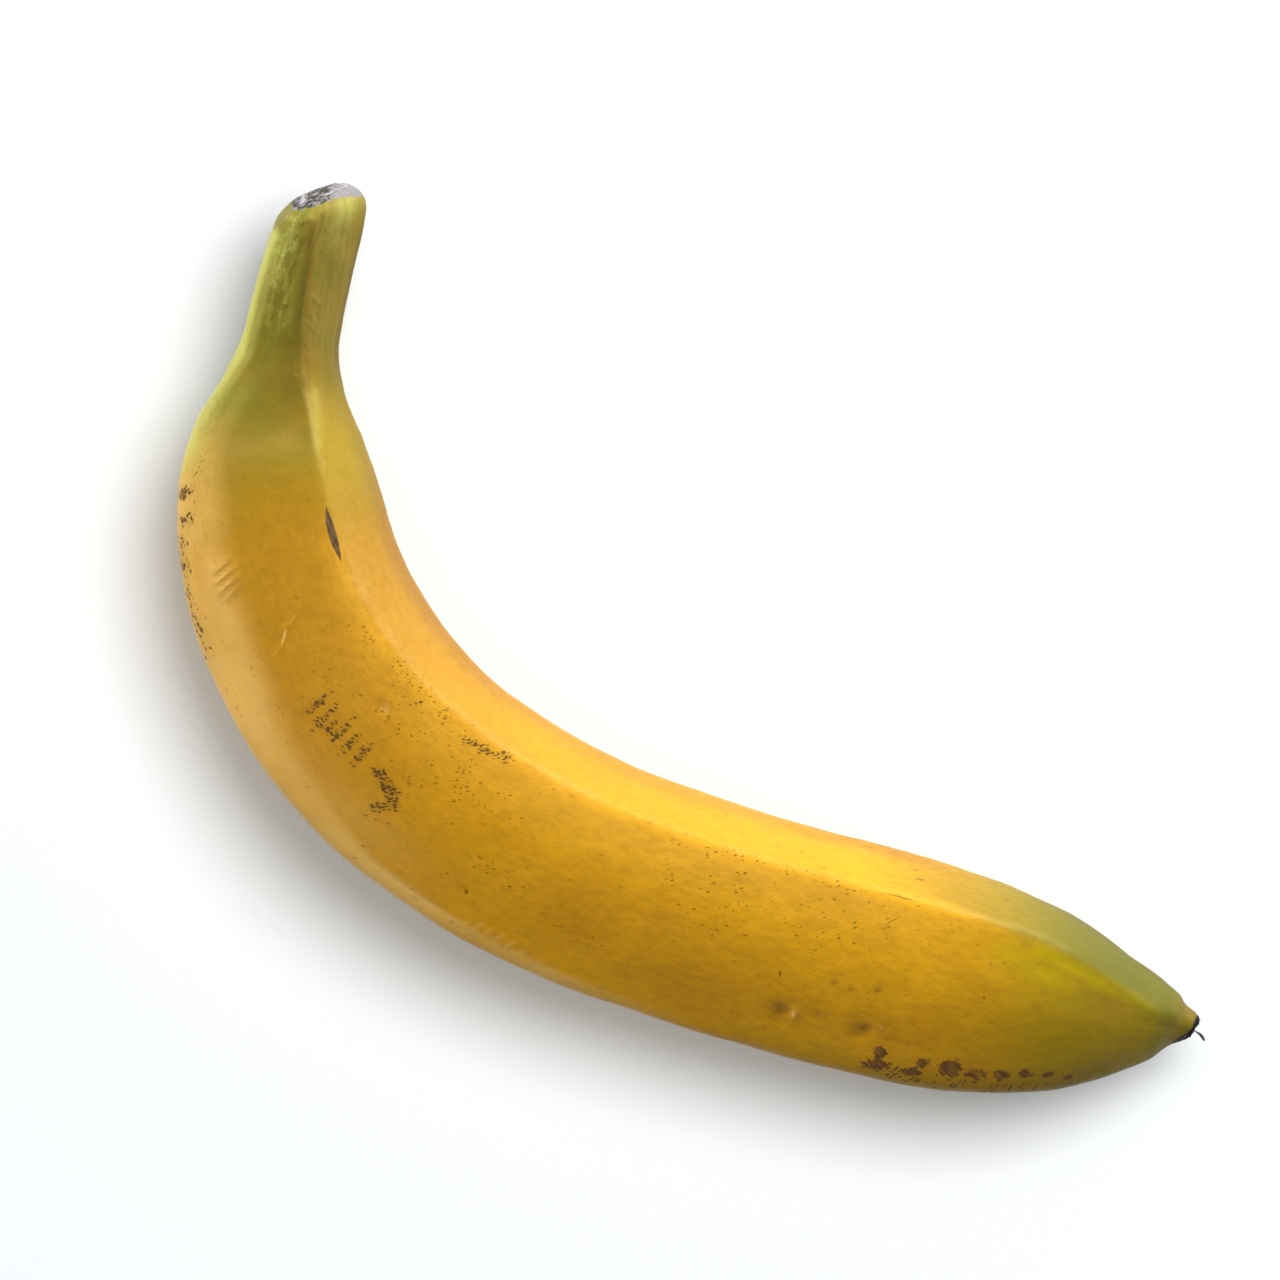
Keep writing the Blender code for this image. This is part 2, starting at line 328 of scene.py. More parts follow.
def guide_mesh(name, share, inset, size, push):
    """The guide of a swept piece: one point for each ring, with all that its ring needs."""
    ridges = np.radians([smooth(ridge, share) for ridge in RIDGES_DEG])
    ridges = np.concatenate([ridges, ridges[:1] + 2 * np.pi])
    angular = smooth(ANGULAR, share)
    angles = np.radians(np.arange(0, 360, SECTION_STEP))[:, None]
    y_all, z_all = unit_section(angles, ridges, angular)
    at_cut = np.clip(1 - share / CUT_REACH, 0, 1) ** 2
    at_tip = np.clip(1 - (1 - share) / TIP_REACH, 0, 1) ** 2
    points = middle_line(share)
    forward, side, up = directions(share)
    needs = {
        "share": share, "angular": angular, "inset": inset, "size": size, "push": push,
        "middle_y": (y_all.max(0) + y_all.min(0)) / 2, "middle_z": (z_all.max(0) + z_all.min(0)) / 2,
        "stretch_y": 2 * half_width(share) / np.ptp(y_all, axis=0),
        "stretch_z": 2 * half_depth(share) / np.ptp(z_all, axis=0),
        "lean_y": at_tip * TIP_LEAN - at_cut * CUT_LEAN, "lean_z": at_cut * CUT_TILT,
        **{f"ridge_{k}": ridge for k, ridge in enumerate(ridges)},
        "heart": points, "forward": forward, "side": side, "up": up,
    }
    mesh = bpy.data.meshes.new(name)
    mesh.from_pydata(points.tolist(), [(k, k + 1) for k in range(len(points) - 1)], [])
    for label, values in needs.items():
        write(mesh, label, values)
    return mesh


guide = guide_mesh("peel_guide", *ring_places())
print("rings:", len(guide.vertices))

# %% [markdown]
# ## The tree that grows the peel
#
# The tree turns the guide into a curve and sweeps a circle along it, which gives the net of
# faces. Then it puts every point in its place: from the angle round the section it works out
# the rounded five-sided form, stretches it to the ring's width and thickness, and sets it off
# from the middle line in the ring's own directions. The points stand closer together on the
# upper side, where the small scars are. The straightened place of each point, in millimetres
# along, across and up, is stored for the finishes.

# %% Geometry Nodes tree for the peel
def store(tree, geometry, name, value, kind="FLOAT"):
    made = node(tree, "GeometryNodeStoreNamedAttribute",
                {"Geometry": geometry, "Name": name, "Value": value}, data_type=kind)
    return made.outputs["Geometry"]


def read(tree, name, kind="FLOAT"):
    return node(tree, "GeometryNodeInputNamedAttribute", {"Name": name}, data_type=kind).outputs["Attribute"]


def profile_circle(tree, count, crowding):
    """A circle whose points know their angle from the top, closer together near the top."""
    circle = node(tree, "GeometryNodeCurvePrimitiveCircle", {"Resolution": count}, mode="RADIUS")
    index = node(tree, "GeometryNodeInputIndex").outputs[0]
    full = maths(tree, "MULTIPLY", maths(tree, "DIVIDE", index, count), 2 * math.pi)
    shifted = maths(tree, "MULTIPLY", maths(tree, "SINE", full), crowding)
    return store(tree, circle.outputs["Curve"], "turn", maths(tree, "SUBTRACT", full, shifted))


def section_radius(tree, turn, sharpness):
    """The form's distance from its middle at that angle: five facets and rounded ridges."""
    total = None
    for k in range(5):
        start, end = read(tree, f"ridge_{k}"), read(tree, f"ridge_{k + 1}")
        facing = maths(tree, "MULTIPLY", maths(tree, "ADD", start, end), 0.5)
        spread = maths(tree, "MULTIPLY", maths(tree, "SUBTRACT", end, start), 0.5)
        near = maths(tree, "COSINE", maths(tree, "SUBTRACT", turn, facing))
        facet = maths(tree, "MAXIMUM", maths(tree, "DIVIDE", near, maths(tree, "COSINE", spread)), 0.0)
        facet = maths(tree, "POWER", facet, sharpness)
        total = facet if total is None else maths(tree, "ADD", total, facet)
    angular = read(tree, "angular")
    flat = maths(tree, "POWER", total, maths(tree, "DIVIDE", -1.0, sharpness))
    return maths(tree, "MULTIPLY_ADD", angular, maths(tree, "SUBTRACT", flat, 1.0), 1.0)


def section_place(tree, turn, radius, toward, axis):
    """One coordinate of the section: centred, stretched to size, and drawn in by the inset."""
    pointing = maths(tree, toward, turn)
    centred = maths(tree, "SUBTRACT", maths(tree, "MULTIPLY", radius, pointing), read(tree, "middle_" + axis))
    full = maths(tree, "MULTIPLY", centred, read(tree, "stretch_" + axis))
    drawn_in = maths(tree, "SUBTRACT", full, maths(tree, "MULTIPLY", read(tree, "inset"), pointing))
    return maths(tree, "MULTIPLY", drawn_in, read(tree, "size"))


def make_real(tree, geometry, finish, end):
    """The last steps of every tree: instances become faces, which take the finish."""
    geometry = node(tree, "GeometryNodeRealizeInstances", {"Geometry": geometry}).outputs[0]
    geometry = node(tree, "GeometryNodeSetMaterial", {"Geometry": geometry, "Material": finish}).outputs[0]
    tree.links.new(geometry, end.inputs[0])


def peel_tree():
    tree, start, end = new_tree("grow the peel", {
        "Points round": "Int", "Crowding on top": "Float", "Ridge sharpness": "Float",
        "Length": "Float", "Finish": "Material"})
    given = start.outputs
    circle = profile_circle(tree, given["Points round"], given["Crowding on top"])
    line = node(tree, "GeometryNodeMeshToCurve", {"Mesh": given["Geometry"]}).outputs["Curve"]
    net = node(tree, "GeometryNodeCurveToMesh", {"Curve": line, "Profile Curve": circle}).outputs["Mesh"]
    turn = read(tree, "turn")
    radius = section_radius(tree, turn, given["Ridge sharpness"])
    across = section_place(tree, turn, radius, "SINE", "y")
    height = section_place(tree, turn, radius, "COSINE", "z")
    along = maths(tree, "MULTIPLY", read(tree, "share"), given["Length"])
    lean = maths(tree, "MULTIPLY_ADD", across, read(tree, "lean_y"), read(tree, "push"))
    lean = maths(tree, "MULTIPLY_ADD", height, read(tree, "lean_z"), lean)
    straight = node(tree, "ShaderNodeCombineXYZ", {"X": along, "Y": across, "Z": height}).outputs[0]
    net = store(tree, net, "straight", scaled(tree, straight, 1 / MM), "FLOAT_VECTOR")
    place = read(tree, "heart", "FLOAT_VECTOR")
    for direction, amount in (("side", across), ("up", height), ("forward", lean)):
        step = scaled(tree, read(tree, direction, "FLOAT_VECTOR"), amount)
        place = vector_maths(tree, "ADD", place, step)
    net = node(tree, "GeometryNodeSetPosition", {"Geometry": net, "Position": place}).outputs[0]
    poles_closed = node(tree, "GeometryNodeMergeByDistance", {"Geometry": net, "Distance": 0.001 * MM})
    net = node(tree, "GeometryNodeSetShadeSmooth", {"Geometry": poles_closed.outputs[0]}).outputs[0]
    make_real(tree, net, given["Finish"], end)
    return tree


# %% Grow the peel
PEEL_POINTS_ROUND = 164
PEEL_CROWDING = 0.35
sweep = peel_tree()


def swept(guide, name, finish, points_round, crowding=0.0):
    """A closed piece that follows its guide, with its faces outwards."""
    piece = run_tree(sweep, guide, name, {
        "Points round": points_round, "Crowding on top": crowding,
        "Ridge sharpness": float(RIDGE_POWER), "Length": LENGTH, "Finish": finish})
    if volume(piece.data) < 0:
        piece.data.flip_normals()
    return piece


# The finish itself is made later: the tree only needs to know which one it is.
peel_finish = bpy.data.materials.new("peel_finish")
peel = swept(guide, "peel", peel_finish, PEEL_POINTS_ROUND, PEEL_CROWDING)
print("peel:", len(peel.data.vertices), "points,", triangles(peel.data), "triangles,",
      round(volume(peel.data) * 1e6, 1), "cubic centimetres")

# %% [markdown]
# ## Small relief, worked into the peel
#
# The smooth swept form still lacks what a hand would feel: slow unevenness, two dents low on
# the outer side, a healed oval on the shoulder, a raised scratch, cords along the ridges,
# wrinkles on the stalk and soft swellings before the tip. A bump map could fake them, but it
# leaves the outline and the exported mesh smooth. Here the points themselves are moved along
# their normals. The places are given on the straightened fruit, in millimetres along it from
# the cut and across it towards the hollow side, as they would be measured with a tape.

# %% Brushes on the straightened fruit
OUT_OF_REACH = 9.0  # the distance that a brush gives to the points it can't touch


def values_of(mesh, name, width=1):
    attribute = mesh.attributes[name]
    values = np.empty(len(attribute.data) * width, np.float32)
    attribute.data.foreach_get("vector" if width == 3 else "value", values)
    return values.reshape(-1, width).astype(float) if width > 1 else values.astype(float)


along, across, height = values_of(peel.data, "straight", 3).T
turn = values_of(peel.data, "turn")
share_along = along * MM / LENGTH
on_top = np.cos(turn) > -0.25
upper = np.clip(1 + 2 * np.cos(turn), 0, 1)  # the underside keeps its plain form, and rests truly


def oval(place, offset, half_length, half_wide, turned=0.0):
    """Distance from the middle of an oval on the upper side: 0 there and 1 at its rim."""
    x, y = along - place, across - offset
    c, s = math.cos(math.radians(turned)), math.sin(math.radians(turned))
    distance = np.hypot((x * c + y * s) / half_length, (y * c - x * s) / half_wide)
    return np.where(on_top, distance, OUT_OF_REACH)


def stroke(points, half_wide):
    """Distance from a line of points on the upper side, in half widths."""
    nearest = np.full(len(along), OUT_OF_REACH * half_wide)
    for (x0, y0), (x1, y1) in zip(points, points[1:]):
        x, y = x1 - x0, y1 - y0
        share = np.clip(((along - x0) * x + (across - y0) * y) / (x * x + y * y), 0, 1)
        nearest = np.minimum(nearest, np.hypot(along - x0 - share * x, across - y0 - share * y))
    return np.where(on_top, nearest / half_wide, OUT_OF_REACH)


def hill(distance):
    return np.exp(-1.4 * distance ** 2)


def between(value, start, end):
    """A soft step from 0 at start to 1 at end. It falls instead if start is the larger."""
    u = np.clip((value - start) / (end - start), 0, 1)
    return u * u * (3 - 2 * u)


def past_ridge(k):
    """Signed distance from a ridge, in millimetres round the section, towards the hollow side."""
    ridge = np.radians(smooth(RIDGES_DEG[k], share_along))
    apart = (turn - ridge + np.pi) % (2 * np.pi) - np.pi
    return apart * half_width(share_along) / MM


print("brushes ready for", len(along), "points")

# %% Places of the small relief
# Slow unevenness: height in millimetres, waves along the fruit, waves round it, phase
UNEVEN = ((0.1, 3.0, 2, 0.4), (0.1, 7.0, 1, 2.1), (0.06, 13.0, 3, 4.0))
# Dents and swellings: place along, offset across, half length, half width, turn, height
PRESSED = (
    (84.4, 2.6, 1.3, 1.0, 25, -0.22),  # thumb dent beside the upper ridge
    (158.1, -11.0, 1.6, 1.6, 0, -0.85),  # deep dent low on the outer side
    (160.0, -10.9, 0.5, 1.0, 0, 0.42),  # its lip
    (163.2, -9.6, 2.2, 1.5, 0, -0.2),  # shallow hollow beside it
    (170.5, -10.5, 1.7, 1.2, 30, -0.65),  # second dent, nearer the tip
    (172.4, -9.6, 0.6, 1.0, 20, 0.22),  # its lip
    (57.0, -10.0, 3.2, 2.7, -20, 0.3),  # healed oval on the shoulder
    (110.2, -10.9, 0.8, 0.7, 0, -0.18),  # small prick
    (112.6, -14.6, 0.7, 0.5, 0, 0.3),  # row of lumps low on the outer side
    (114.2, -15.0, 0.6, 0.5, 0, 0.26),
    (115.9, -14.6, 0.8, 0.45, 20, 0.28),
    (117.6, -14.9, 0.6, 0.5, 0, 0.24),
    (119.3, -14.5, 0.7, 0.5, -15, 0.26),
    (121.0, -15.0, 0.8, 0.5, 0, 0.2),
    (8.5, 3.6, 3.0, 1.6, 20, 0.16),  # soft swellings of the stalk
    (14.0, -3.4, 4.0, 1.1, 5, 0.14),
    (5.0, -2.6, 2.0, 0.8, 60, 0.14),
)
# Wrinkles where the stalk turns into the neck: place along, and length along
WRINKLES = ((15.0, 1.0), (17.6, 1.8), (19.3, 1.2), (22.4, 2.2), (24.1, 1.4), (27.2, 1.9), (29.5, 2.6))
# Raised and sunk lines: half width, height, and the points they pass through
DRAWN = (
    (0.4, 0.08, ((63.6, -0.2), (64.6, -0.9), (65.9, -3.1))),  # old scratch
    (0.4, 0.2, ((65.9, -3.1), (68.5, -5.3))),
    (0.5, -0.1, ((65.2, -3.8), (67.8, -6.2))),
    (0.36, 0.3, ((54.4, -8.6), (55.6, -11.0))),  # four marks in the healed oval
    (0.36, 0.3, ((55.7, -8.1), (57.2, -11.4))),
    (0.36, 0.3, ((57.0, -7.9), (58.5, -11.2))),
    (0.36, 0.26, ((58.2, -8.1), (59.5, -10.6))),
    (0.38, -0.26, ((2.5, 0.4), (7.6, 0.0), (14.0, 0.5), (21.2, 1.2), (27.0, 1.9))),  # beside the ridge
    (0.35, 0.14, ((9.0, -2.0), (13.5, -2.5), (17.0, -1.6))),  # fine lines of the stalk
    (0.3, 0.12, ((8.0, -3.4), (12.0, -3.9), (19.0, -3.3))),
    (0.3, 0.16, ((2.7, -2.6), (2.3, -1.8), (2.6, -1.0))),
    *[(0.4, 0.09, ((x, 1.4 + 0.05 * x), (x + run, 2.3 + 0.06 * x))) for x, run in WRINKLES],
    (0.7, 0.06, ((191.5, 8.5), (199.6, 6.9), (207.0, 4.3), (213.5, 0.9))),  # cord into the tip
)
print("relief:", len(PRESSED), "dents and swellings,", len(DRAWN), "lines")


# %% Heights of the small relief
def noise_of(size, shift=0.0):
    """Smooth noise on the straightened fruit, with lumps of about this size in millimetres."""
    return np.array([noise.noise(Vector(point) / size + Vector((shift, 0, 0))) for point in
                     np.stack([along, across, height], -1)])


def relief():
    rise = np.zeros(len(along))
    for size, waves, around, phase in UNEVEN:
        rise += size * np.sin(2 * np.pi * waves * share_along + phase) * np.cos(around * turn + phase)
    rise *= np.sin(np.pi * share_along)
    for place, offset, half_length, half_wide, turned, out in PRESSED:
        rise += out * hill(oval(place, offset, half_length, half_wide, turned))
    for half_wide, out, points in DRAWN:
        rise += out * hill(stroke(points, half_wide))
    soft = noise_of(5.0)
    rise += 0.09 * soft + 0.04 * noise_of(1.7, 7.0)
    for k in (0, 4):  # cords: a ridge is a little proud of its facets
        rise += 0.03 * (1 + 0.6 * soft) * np.exp(-(past_ridge(k) / 1.4) ** 2)
    shoulder_cord = between(along, 20, 30) * between(along, 50, 38)
    rise += 0.1 * shoulder_cord * np.exp(-(past_ridge(0) / 1.0) ** 2)
    near_stalk, near_tip = between(along, 40, 22), between(along, 200, 213)
    wrinkles = np.sin(15 * turn + 2.5 * soft + 0.12 * along) + 0.6 * np.sin(31 * turn - 4 * soft)
    rise += 0.04 * wrinkles * (near_stalk + 0.3 * near_tip)
    outer_swelling = between(along, 194, 204) * between(along, 217, 214) * between(across, 2, -2)
    inner_swelling = between(along, 208, 213.5) * between(along, 217.5, 216) * between(across, -1, 2)
    rise += 0.3 * outer_swelling
    rise += 0.45 * inner_swelling
    return rise * upper


rise = relief()
print("relief from", round(rise.min(), 2), "to", round(rise.max(), 2), "mm")

# %% [markdown]
# The rim of the cut is drawn back a little on the hollow side, where the stalk was broken
# off roundly, and the whole mesh is kept at or above the table.

# %% Move the points of the peel
ROUND_BACK = 1.1  # millimetres


def points_of(mesh, what="co"):
    rows = np.empty(len(mesh.vertices) * 3, np.float32)
    mesh.vertices.foreach_get(what, rows)
    return rows.reshape(-1, 3).astype(float)


def move_points(mesh, places):
    mesh.vertices.foreach_set("co", places.astype(np.float32).ravel())
    mesh.update()


def broken_off(across):
    """How much of the drawing back a point takes: none on the outer side, most on the hollow side."""
    return np.clip(across / 6.2, 0, 1.1) ** 2


forward_at_cut, side_at_cut = (rows[0] for rows in directions(np.array([0.0]))[:2])
drawn_back = broken_off(across) * between(along, 9, 0)
places = points_of(peel.data) + points_of(peel.data, "normal") * rise[:, None] * MM
places += forward_at_cut * drawn_back[:, None] * ROUND_BACK * MM
places[:, 2] = np.maximum(places[:, 2], 0)
move_points(peel.data, places)
print("peel box, mm:", np.round((places.max(0) - places.min(0)) * 1000, 2).tolist())

# %% [markdown]
# ## Where the colours and marks lie
#
# A ripe banana is yellow, but green where the stalk and the tip ripen last, and pale peach on
# the outer side. Some areas are light and shade: a painted highlight beside the upper ridge
# and on small raised marks, a painted rim light and fill light along the outer edge, and
# painted shade along both outlines, low on the outer side and in the dents. These large areas
# follow the form, so they are painted on the points as masks from 0 to 1 and stored as
# attributes. The masks only say how much of a thing there is. The nodes of the finish break up
# their edges and draw the fine dashes and dots inside them, far below the spacing of the points.

# %% Painting tools
def most(*layers):
    return np.maximum.reduce(layers)


def spots(*rows):
    """Soft ovals: strength, then place, offset, half length, half width and turn."""
    return most(*[strength * hill(oval(*shape)) for strength, *shape in rows])


def lines(*rows):
    """Soft lines: strength, half width, then the points that the line passes through."""
    return most(*[strength * hill(stroke(points, half_wide)) for strength, half_wide, *points in rows])


def paint(name, values):
    values = np.clip(values, -1, 1)
    write(peel.data, name, values)
    print(f"mask {name}: mean {values.mean():.3f}, most {values.max():.2f}")


# Distances in millimetres: past the upper ridge, and from the outlines of both sides
beyond = past_ridge(0)
from_hollow_side = half_width(share_along) / MM - across
from_outer_side = half_width(share_along) / MM + across
# Bands along the outlines, which carry painted shade where the sides turn away from the light
inner_rim_shade = between(from_hollow_side, 2.8, 0.4)
inner_line_shade = between(from_hollow_side, 1.0, 0.2)
outer_rim_shade = between(from_outer_side, 5.0, 1.0)

# %% Paint the highlight beside the ridge and the green ends
# Painted highlight: brighter yellow on the upper facet beside its ridge, where the low window lights it
ridge_highlight_reach = np.interp(along, (60, 92), (0.45, 1))
ridge_highlight = np.interp(beyond / ridge_highlight_reach, (-9, -5, -1.5, 0.8), (0, 0.45, 1, 0))
ridge_highlight *= np.interp(along, (50, 62, 92, 165, 190), (0, 0.8, 1, 1, 0))
paint("ridge_highlight", ridge_highlight)

# Green: the outer half of the stalk, and the facet of the hollow side at the tip
green_stalk = 0.6 * between(beyond, 0.6, -1.2) * between(along, 29, 21)
green_tip = between(beyond + np.interp(along, (176, 191), (0, 2.2)), 0.2, 2.4) * np.interp(
    along, (163, 177, 192, 200, 209, 215, 218), (0, 0.42, 0.7, 0.86, 1, 0.95, 0.5))
green_neck = spots((0.35, 31.0, -6.0, 5.5, 3.0, -30))
low_green = 0.25 * between(across, -4.5, -8.5) * between(along, 200, 207) * between(along, 216, 212)
green_ring = 0.55 * between(along, 212, 214.5) * between(along, 217.8, 216.2)
paint("green", most(green_stalk, green_neck, green_tip, low_green, green_ring))

# Dark olive: a line beside the ridge of the stalk, which widens into the neck; and painted shade in bands
# along the outlines, on the hollow side of the neck and shoulder, at the stalk and the tip, and low on the
# outer side towards the tip
paint("deep", most(
    lines((0.75, 0.75, (4.0, -0.7), (7.0, -0.3), (13.6, 0.3), (20.0, 0.7), (26.0, 1.3)),
          (0.7, 2.4, (23.0, 0.5), (27.0, 0.9), (31.0, 1.8))),
    spots((0.5, 5.0, -1.0, 1.8, 1.4), (0.35, 206.0, 1.0, 7.0, 3.0)),
    0.35 * inner_rim_shade * np.interp(along, (26, 36, 62, 80, 100), (0, 1, 1, 0.5, 0)),
    0.5 * outer_rim_shade * np.interp(along, (140, 176, 207, 213), (0, 1, 1, 0)),
    0.6 * inner_line_shade * np.interp(
        along, (2, 5, 24, 30, 188, 200, 214, 218), (0, 1, 1, 0, 0, 1, 1, 0.5))))

# Lighter olive on the hollow side of the neck
hollow_reach = np.interp(along, (22, 27, 31, 36, 41, 47, 58), (0, 0.25, 0.6, 0.85, 0.9, 0.6, 0))
paint("hollow", between(beyond, -0.8, 0.9) * hollow_reach)

# Bright yellow-green: the outer edge of stalk and neck, where the yellow-green skin is brightened into a
# painted rim light along the outline; the stalk's end; and a strip at the tip
edge = np.interp(along, (4, 9, 20, 26, 30, 35, 40, 45), (-5.6, -6.1, -6.4, -6.9, -8.9, -11.3, -13.4, -14.8))
light_from = edge + np.interp(along, (28, 34, 40), (0, 0.7, 1.1))
rim_light = 0.4 * between(across, light_from + 2.2, light_from + 0.9)
rim_light += 0.5 * between(across, light_from + 0.8, edge)
rim_light *= between(along, 3, 6) * between(along, 45, 39)
paint("lime_and_rim_light", most(
    0.95 * rim_light,
    spots((0.2, 33.0, -7.5, 6.0, 2.5, -30), (0.7, 2.2, 3.6, 2.2, 1.9), (0.2, 5.0, 2.6, 3.6, 1.2, 30)),
    lines((0.3, 1.4, (3.5, -4.0), (8.0, -4.4), (13.0, -4.6)),
          (0.25, 0.9, (29.5, 4.9), (34.0, 6.0), (38.0, 6.4)))))
paint("fleck", most(lines((1, 2.4, (2.5, -3.6), (9.0, -4.2), (19.0, -3.0))),
                    spots((0.5, 4.0, 3.0, 3.5, 2.5))))
strip = lines((1, 1.15, (193.0, 7.6), (198.5, 6.0), (204.0, 4.5), (209.0, 2.9), (213.0, 0.6)))
strip *= np.interp(along, (198, 205, 213), (0.95, 0.6, 0.3))
paint("strip", most(strip, lines((0.5, 2.2, (188.0, 5.8), (198.0, 3.6)))))

# %% Paint pale and ochre skin with their painted light and shade, and the dry skin at the ends
# Painted highlights on small raised lumps low on the outer side: place along, and offset of their upper end
LUMP_HIGHLIGHTS = ((111.8, -14.6), (113.3, -14.0), (114.8, -14.3), (116.4, -13.9), (118.3, -14.2), (120.2, -14.6))
# Pale, peach-coloured skin on the outer side of the shoulder and in a strip low along the body, partly a
# painted fill light on that side; painted highlights on the lumps and on the lip of the deep dent; and pale
# skin in a few more places
pale_top = np.interp(along, (34, 45, 53, 64, 79, 97, 120, 140),
                     (-7.4, -8.4, -8.7, -8.9, -10.6, -14.7, -15.2, -15.8))
soft_edge = np.interp(along, (86, 100), (1.0, 0.12))
pale_side_and_fill_light = between(across, pale_top + 2.6 * soft_edge, pale_top - 2.8 * soft_edge)
pale_side_and_fill_light *= np.interp(along, (33, 38, 45, 53, 60, 79, 100, 125, 145),
                       (0, 0.4, 0.75, 0.75, 0.85, 0.95, 1, 0.85, 0))
paint("pale", most(
    pale_side_and_fill_light,
    lines((0.16, 2.4, (37.5, 2.0), (38.5, -3.0), (40.5, -8.0)),
          (0.1, 2.8, (46.0, 9.0), (52.0, 9.5), (66.0, 8.8)),
          *[(0.8, 0.25, (x, -15.3), (x + 0.9, y)) for x, y in LUMP_HIGHLIGHTS]),
    spots((0.35, 90.0, -12.0, 16.0, 4.5), (0.9, 160.0, -10.6, 0.45, 0.9, 15),
          (0.45, 84.6, 3.0, 0.9, 0.7, -40), (0.4, 57.0, -10.0, 3.0, 2.6))))

# Ochre: warmer, browner patches, most of them low on the outer side, where they are partly painted shade; and
# painted shade along the outline of the hollow side
paint("ochre_and_shade", most(
    spots((0.6, 147.3, -11.8, 2.4, 1.7, 10), (0.55, 151.6, -12.8, 1.5, 1.7),
          (0.4, 135.0, -12.2, 2.6, 1.8), (0.5, 143.0, -11.0, 11.0, 4.2, -4),
          (0.45, 158.0, -11.3, 6.0, 3.4), (0.25, 128.0, -8.0, 10.0, 5.0, -10),
          (0.3, 137.0, -3.0, 3.0, 5.0), (0.35, 82.4, 6.6, 4.2, 1.8), (0.55, 176.0, -9.5, 10.0, 4.0),
          (0.5, 187.0, -12.5, 9.0, 3.0), (0.3, 80.0, -10.0, 8.0, 4.0)),
    0.75 * inner_rim_shade * np.interp(along, (40, 62, 85, 110, 150, 172, 185), (0, 1, 1, 0.6, 0.6, 1, 0))))

# Grey, dry skin round the cut, and the dark skin round the blossom crust
cut_edge = np.interp(across, (-7, -4, -2, 0, 1.2, 3, 6), (0.3, 0.35, 0.42, 0.56, 0.5, 0.4, 0.3))
paint("dry", between(along - drawn_back, cut_edge + 0.35, cut_edge - 0.35))
tip_edge = np.interp(across, (-2.6, -1.2, 0.3, 1.6), (217.1, 218.6, 219.4, 219.3))
outer_dark = 0.25 * between(along, 214.0, 217.5) * between(across, 0, -2)
paint("dark", most(between(along, tip_edge - 0.3, tip_edge + 0.9), outer_dark))

# %% [markdown]
# The small marks come next. Scuffs are dark dashes left by rubbing: here they stand in short
# bars side by side, like the teeth of a comb, and end in a dense patch. Speckles are the tiny
# brown dots of a ripening peel, thickest along the upper ridge. A row of brown scabs runs
# along the lower edge towards the tip, and a thin brown line lies beside the ridge of the
# stalk.

# %% Paint the densities of the marks
# Comb bars: place along, middle offset, half height
BARS = ((78.1, -4.6, 2.5), (80.2, -4.9, 2.6), (81.8, -5.3, 1.4), (83.2, -4.4, 2.4), (85.1, -4.7, 2.1),
        (87.2, -4.4, 2.4))
scuff = most(
    spots(*[(1.5, place, offset, 0.55, tall, 6) for place, offset, tall in BARS],
          (1.3, 90.6, -4.4, 1.3, 0.9, 20), (1.1, 45.2, -13.9, 0.9, 1.5), (1.1, 48.7, -14.2, 0.8, 1.4)),
    lines((1.4, 1.0, (91.6, -4.6), (93.6, -5.5), (94.6, -6.2)), (1.1, 0.8, (94.4, -6.8), (93.3, -8.6)),
          (0.5, 0.5, (95.0, -9.6), (96.6, -9.1)), (0.6, 0.75, (96.5, 7.7), (101, 8.6), (104.5, 9.9)),
          (0.2, 1.0, (86, 7.4), (90, 6.4)), (0.75, 0.8, (51.0, -15.1), (54.0, -15.5)),
          (0.4, 0.9, (54.0, -15.6), (65.0, -16.1)),
          (0.42, 1.0, (174.5, -15.6), (186, -15.2), (196, -13.5), (203, -11.4))))
paint("scuff", scuff * between(np.cos(turn), -0.05, 0.2))

SCARCE = 0.035  # speckles that stand everywhere else
speckle = most(
    lines((0.62, 1.6, (72, 6.2), (78, 8.2), (86, 9.0), (92, 8.8)),
          (0.95, 0.9, (96.0, 8.0), (101, 8.6), (104.6, 9.6)),
          (0.42, 2.9, (86, 2.6), (98, 3.4), (109, 2.6)), (0.2, 3.4, (70, -1.0), (94, -0.5)),
          (0.36, 1.2, (136, 8.6), (148, 10.2), (158, 10.6), (166, 9.6)),
          (0.22, 3.2, (138, 4.6), (152, 6.2), (160, 7.0)),
          (0.2, 3.5, (141, -1.0), (160, 2.0), (172, 6.0)), (0.25, 0.8, (112, -3.6), (119, -3.2)),
          (0.15, 3.0, (110, -6), (132, -11)), (0.35, 1.2, (40.0, -11.5), (48.0, -13.4))),
    spots((0.4, 82.4, 6.2, 3.6, 1.8)))
paint("speckle", np.maximum(speckle, SCARCE) * between(np.cos(turn), -0.9, 0.1))

# Scabs: place along, offset, half length, half height, turn
SCABS = ((173.9, -12.9, 1.2, 1.1, -20), (173.7, -14.9, 2.2, 0.8, 12), (180.3, -13.0, 1.1, 0.9, 20),
         (179.0, -14.7, 1.9, 0.7, 10), (184.4, -12.9, 1.9, 1.5, 15), (188.2, -12.8, 1.6, 1.0, 5),
         (192.0, -12.2, 1.4, 0.8, 12), (195.4, -11.3, 1.3, 0.7, 10), (198.7, -10.8, 0.9, 0.5, 20),
         (201.7, -10.6, 0.9, 0.5, 25))
paint("scab", 1 - np.minimum.reduce([oval(*scab) for scab in SCABS]))

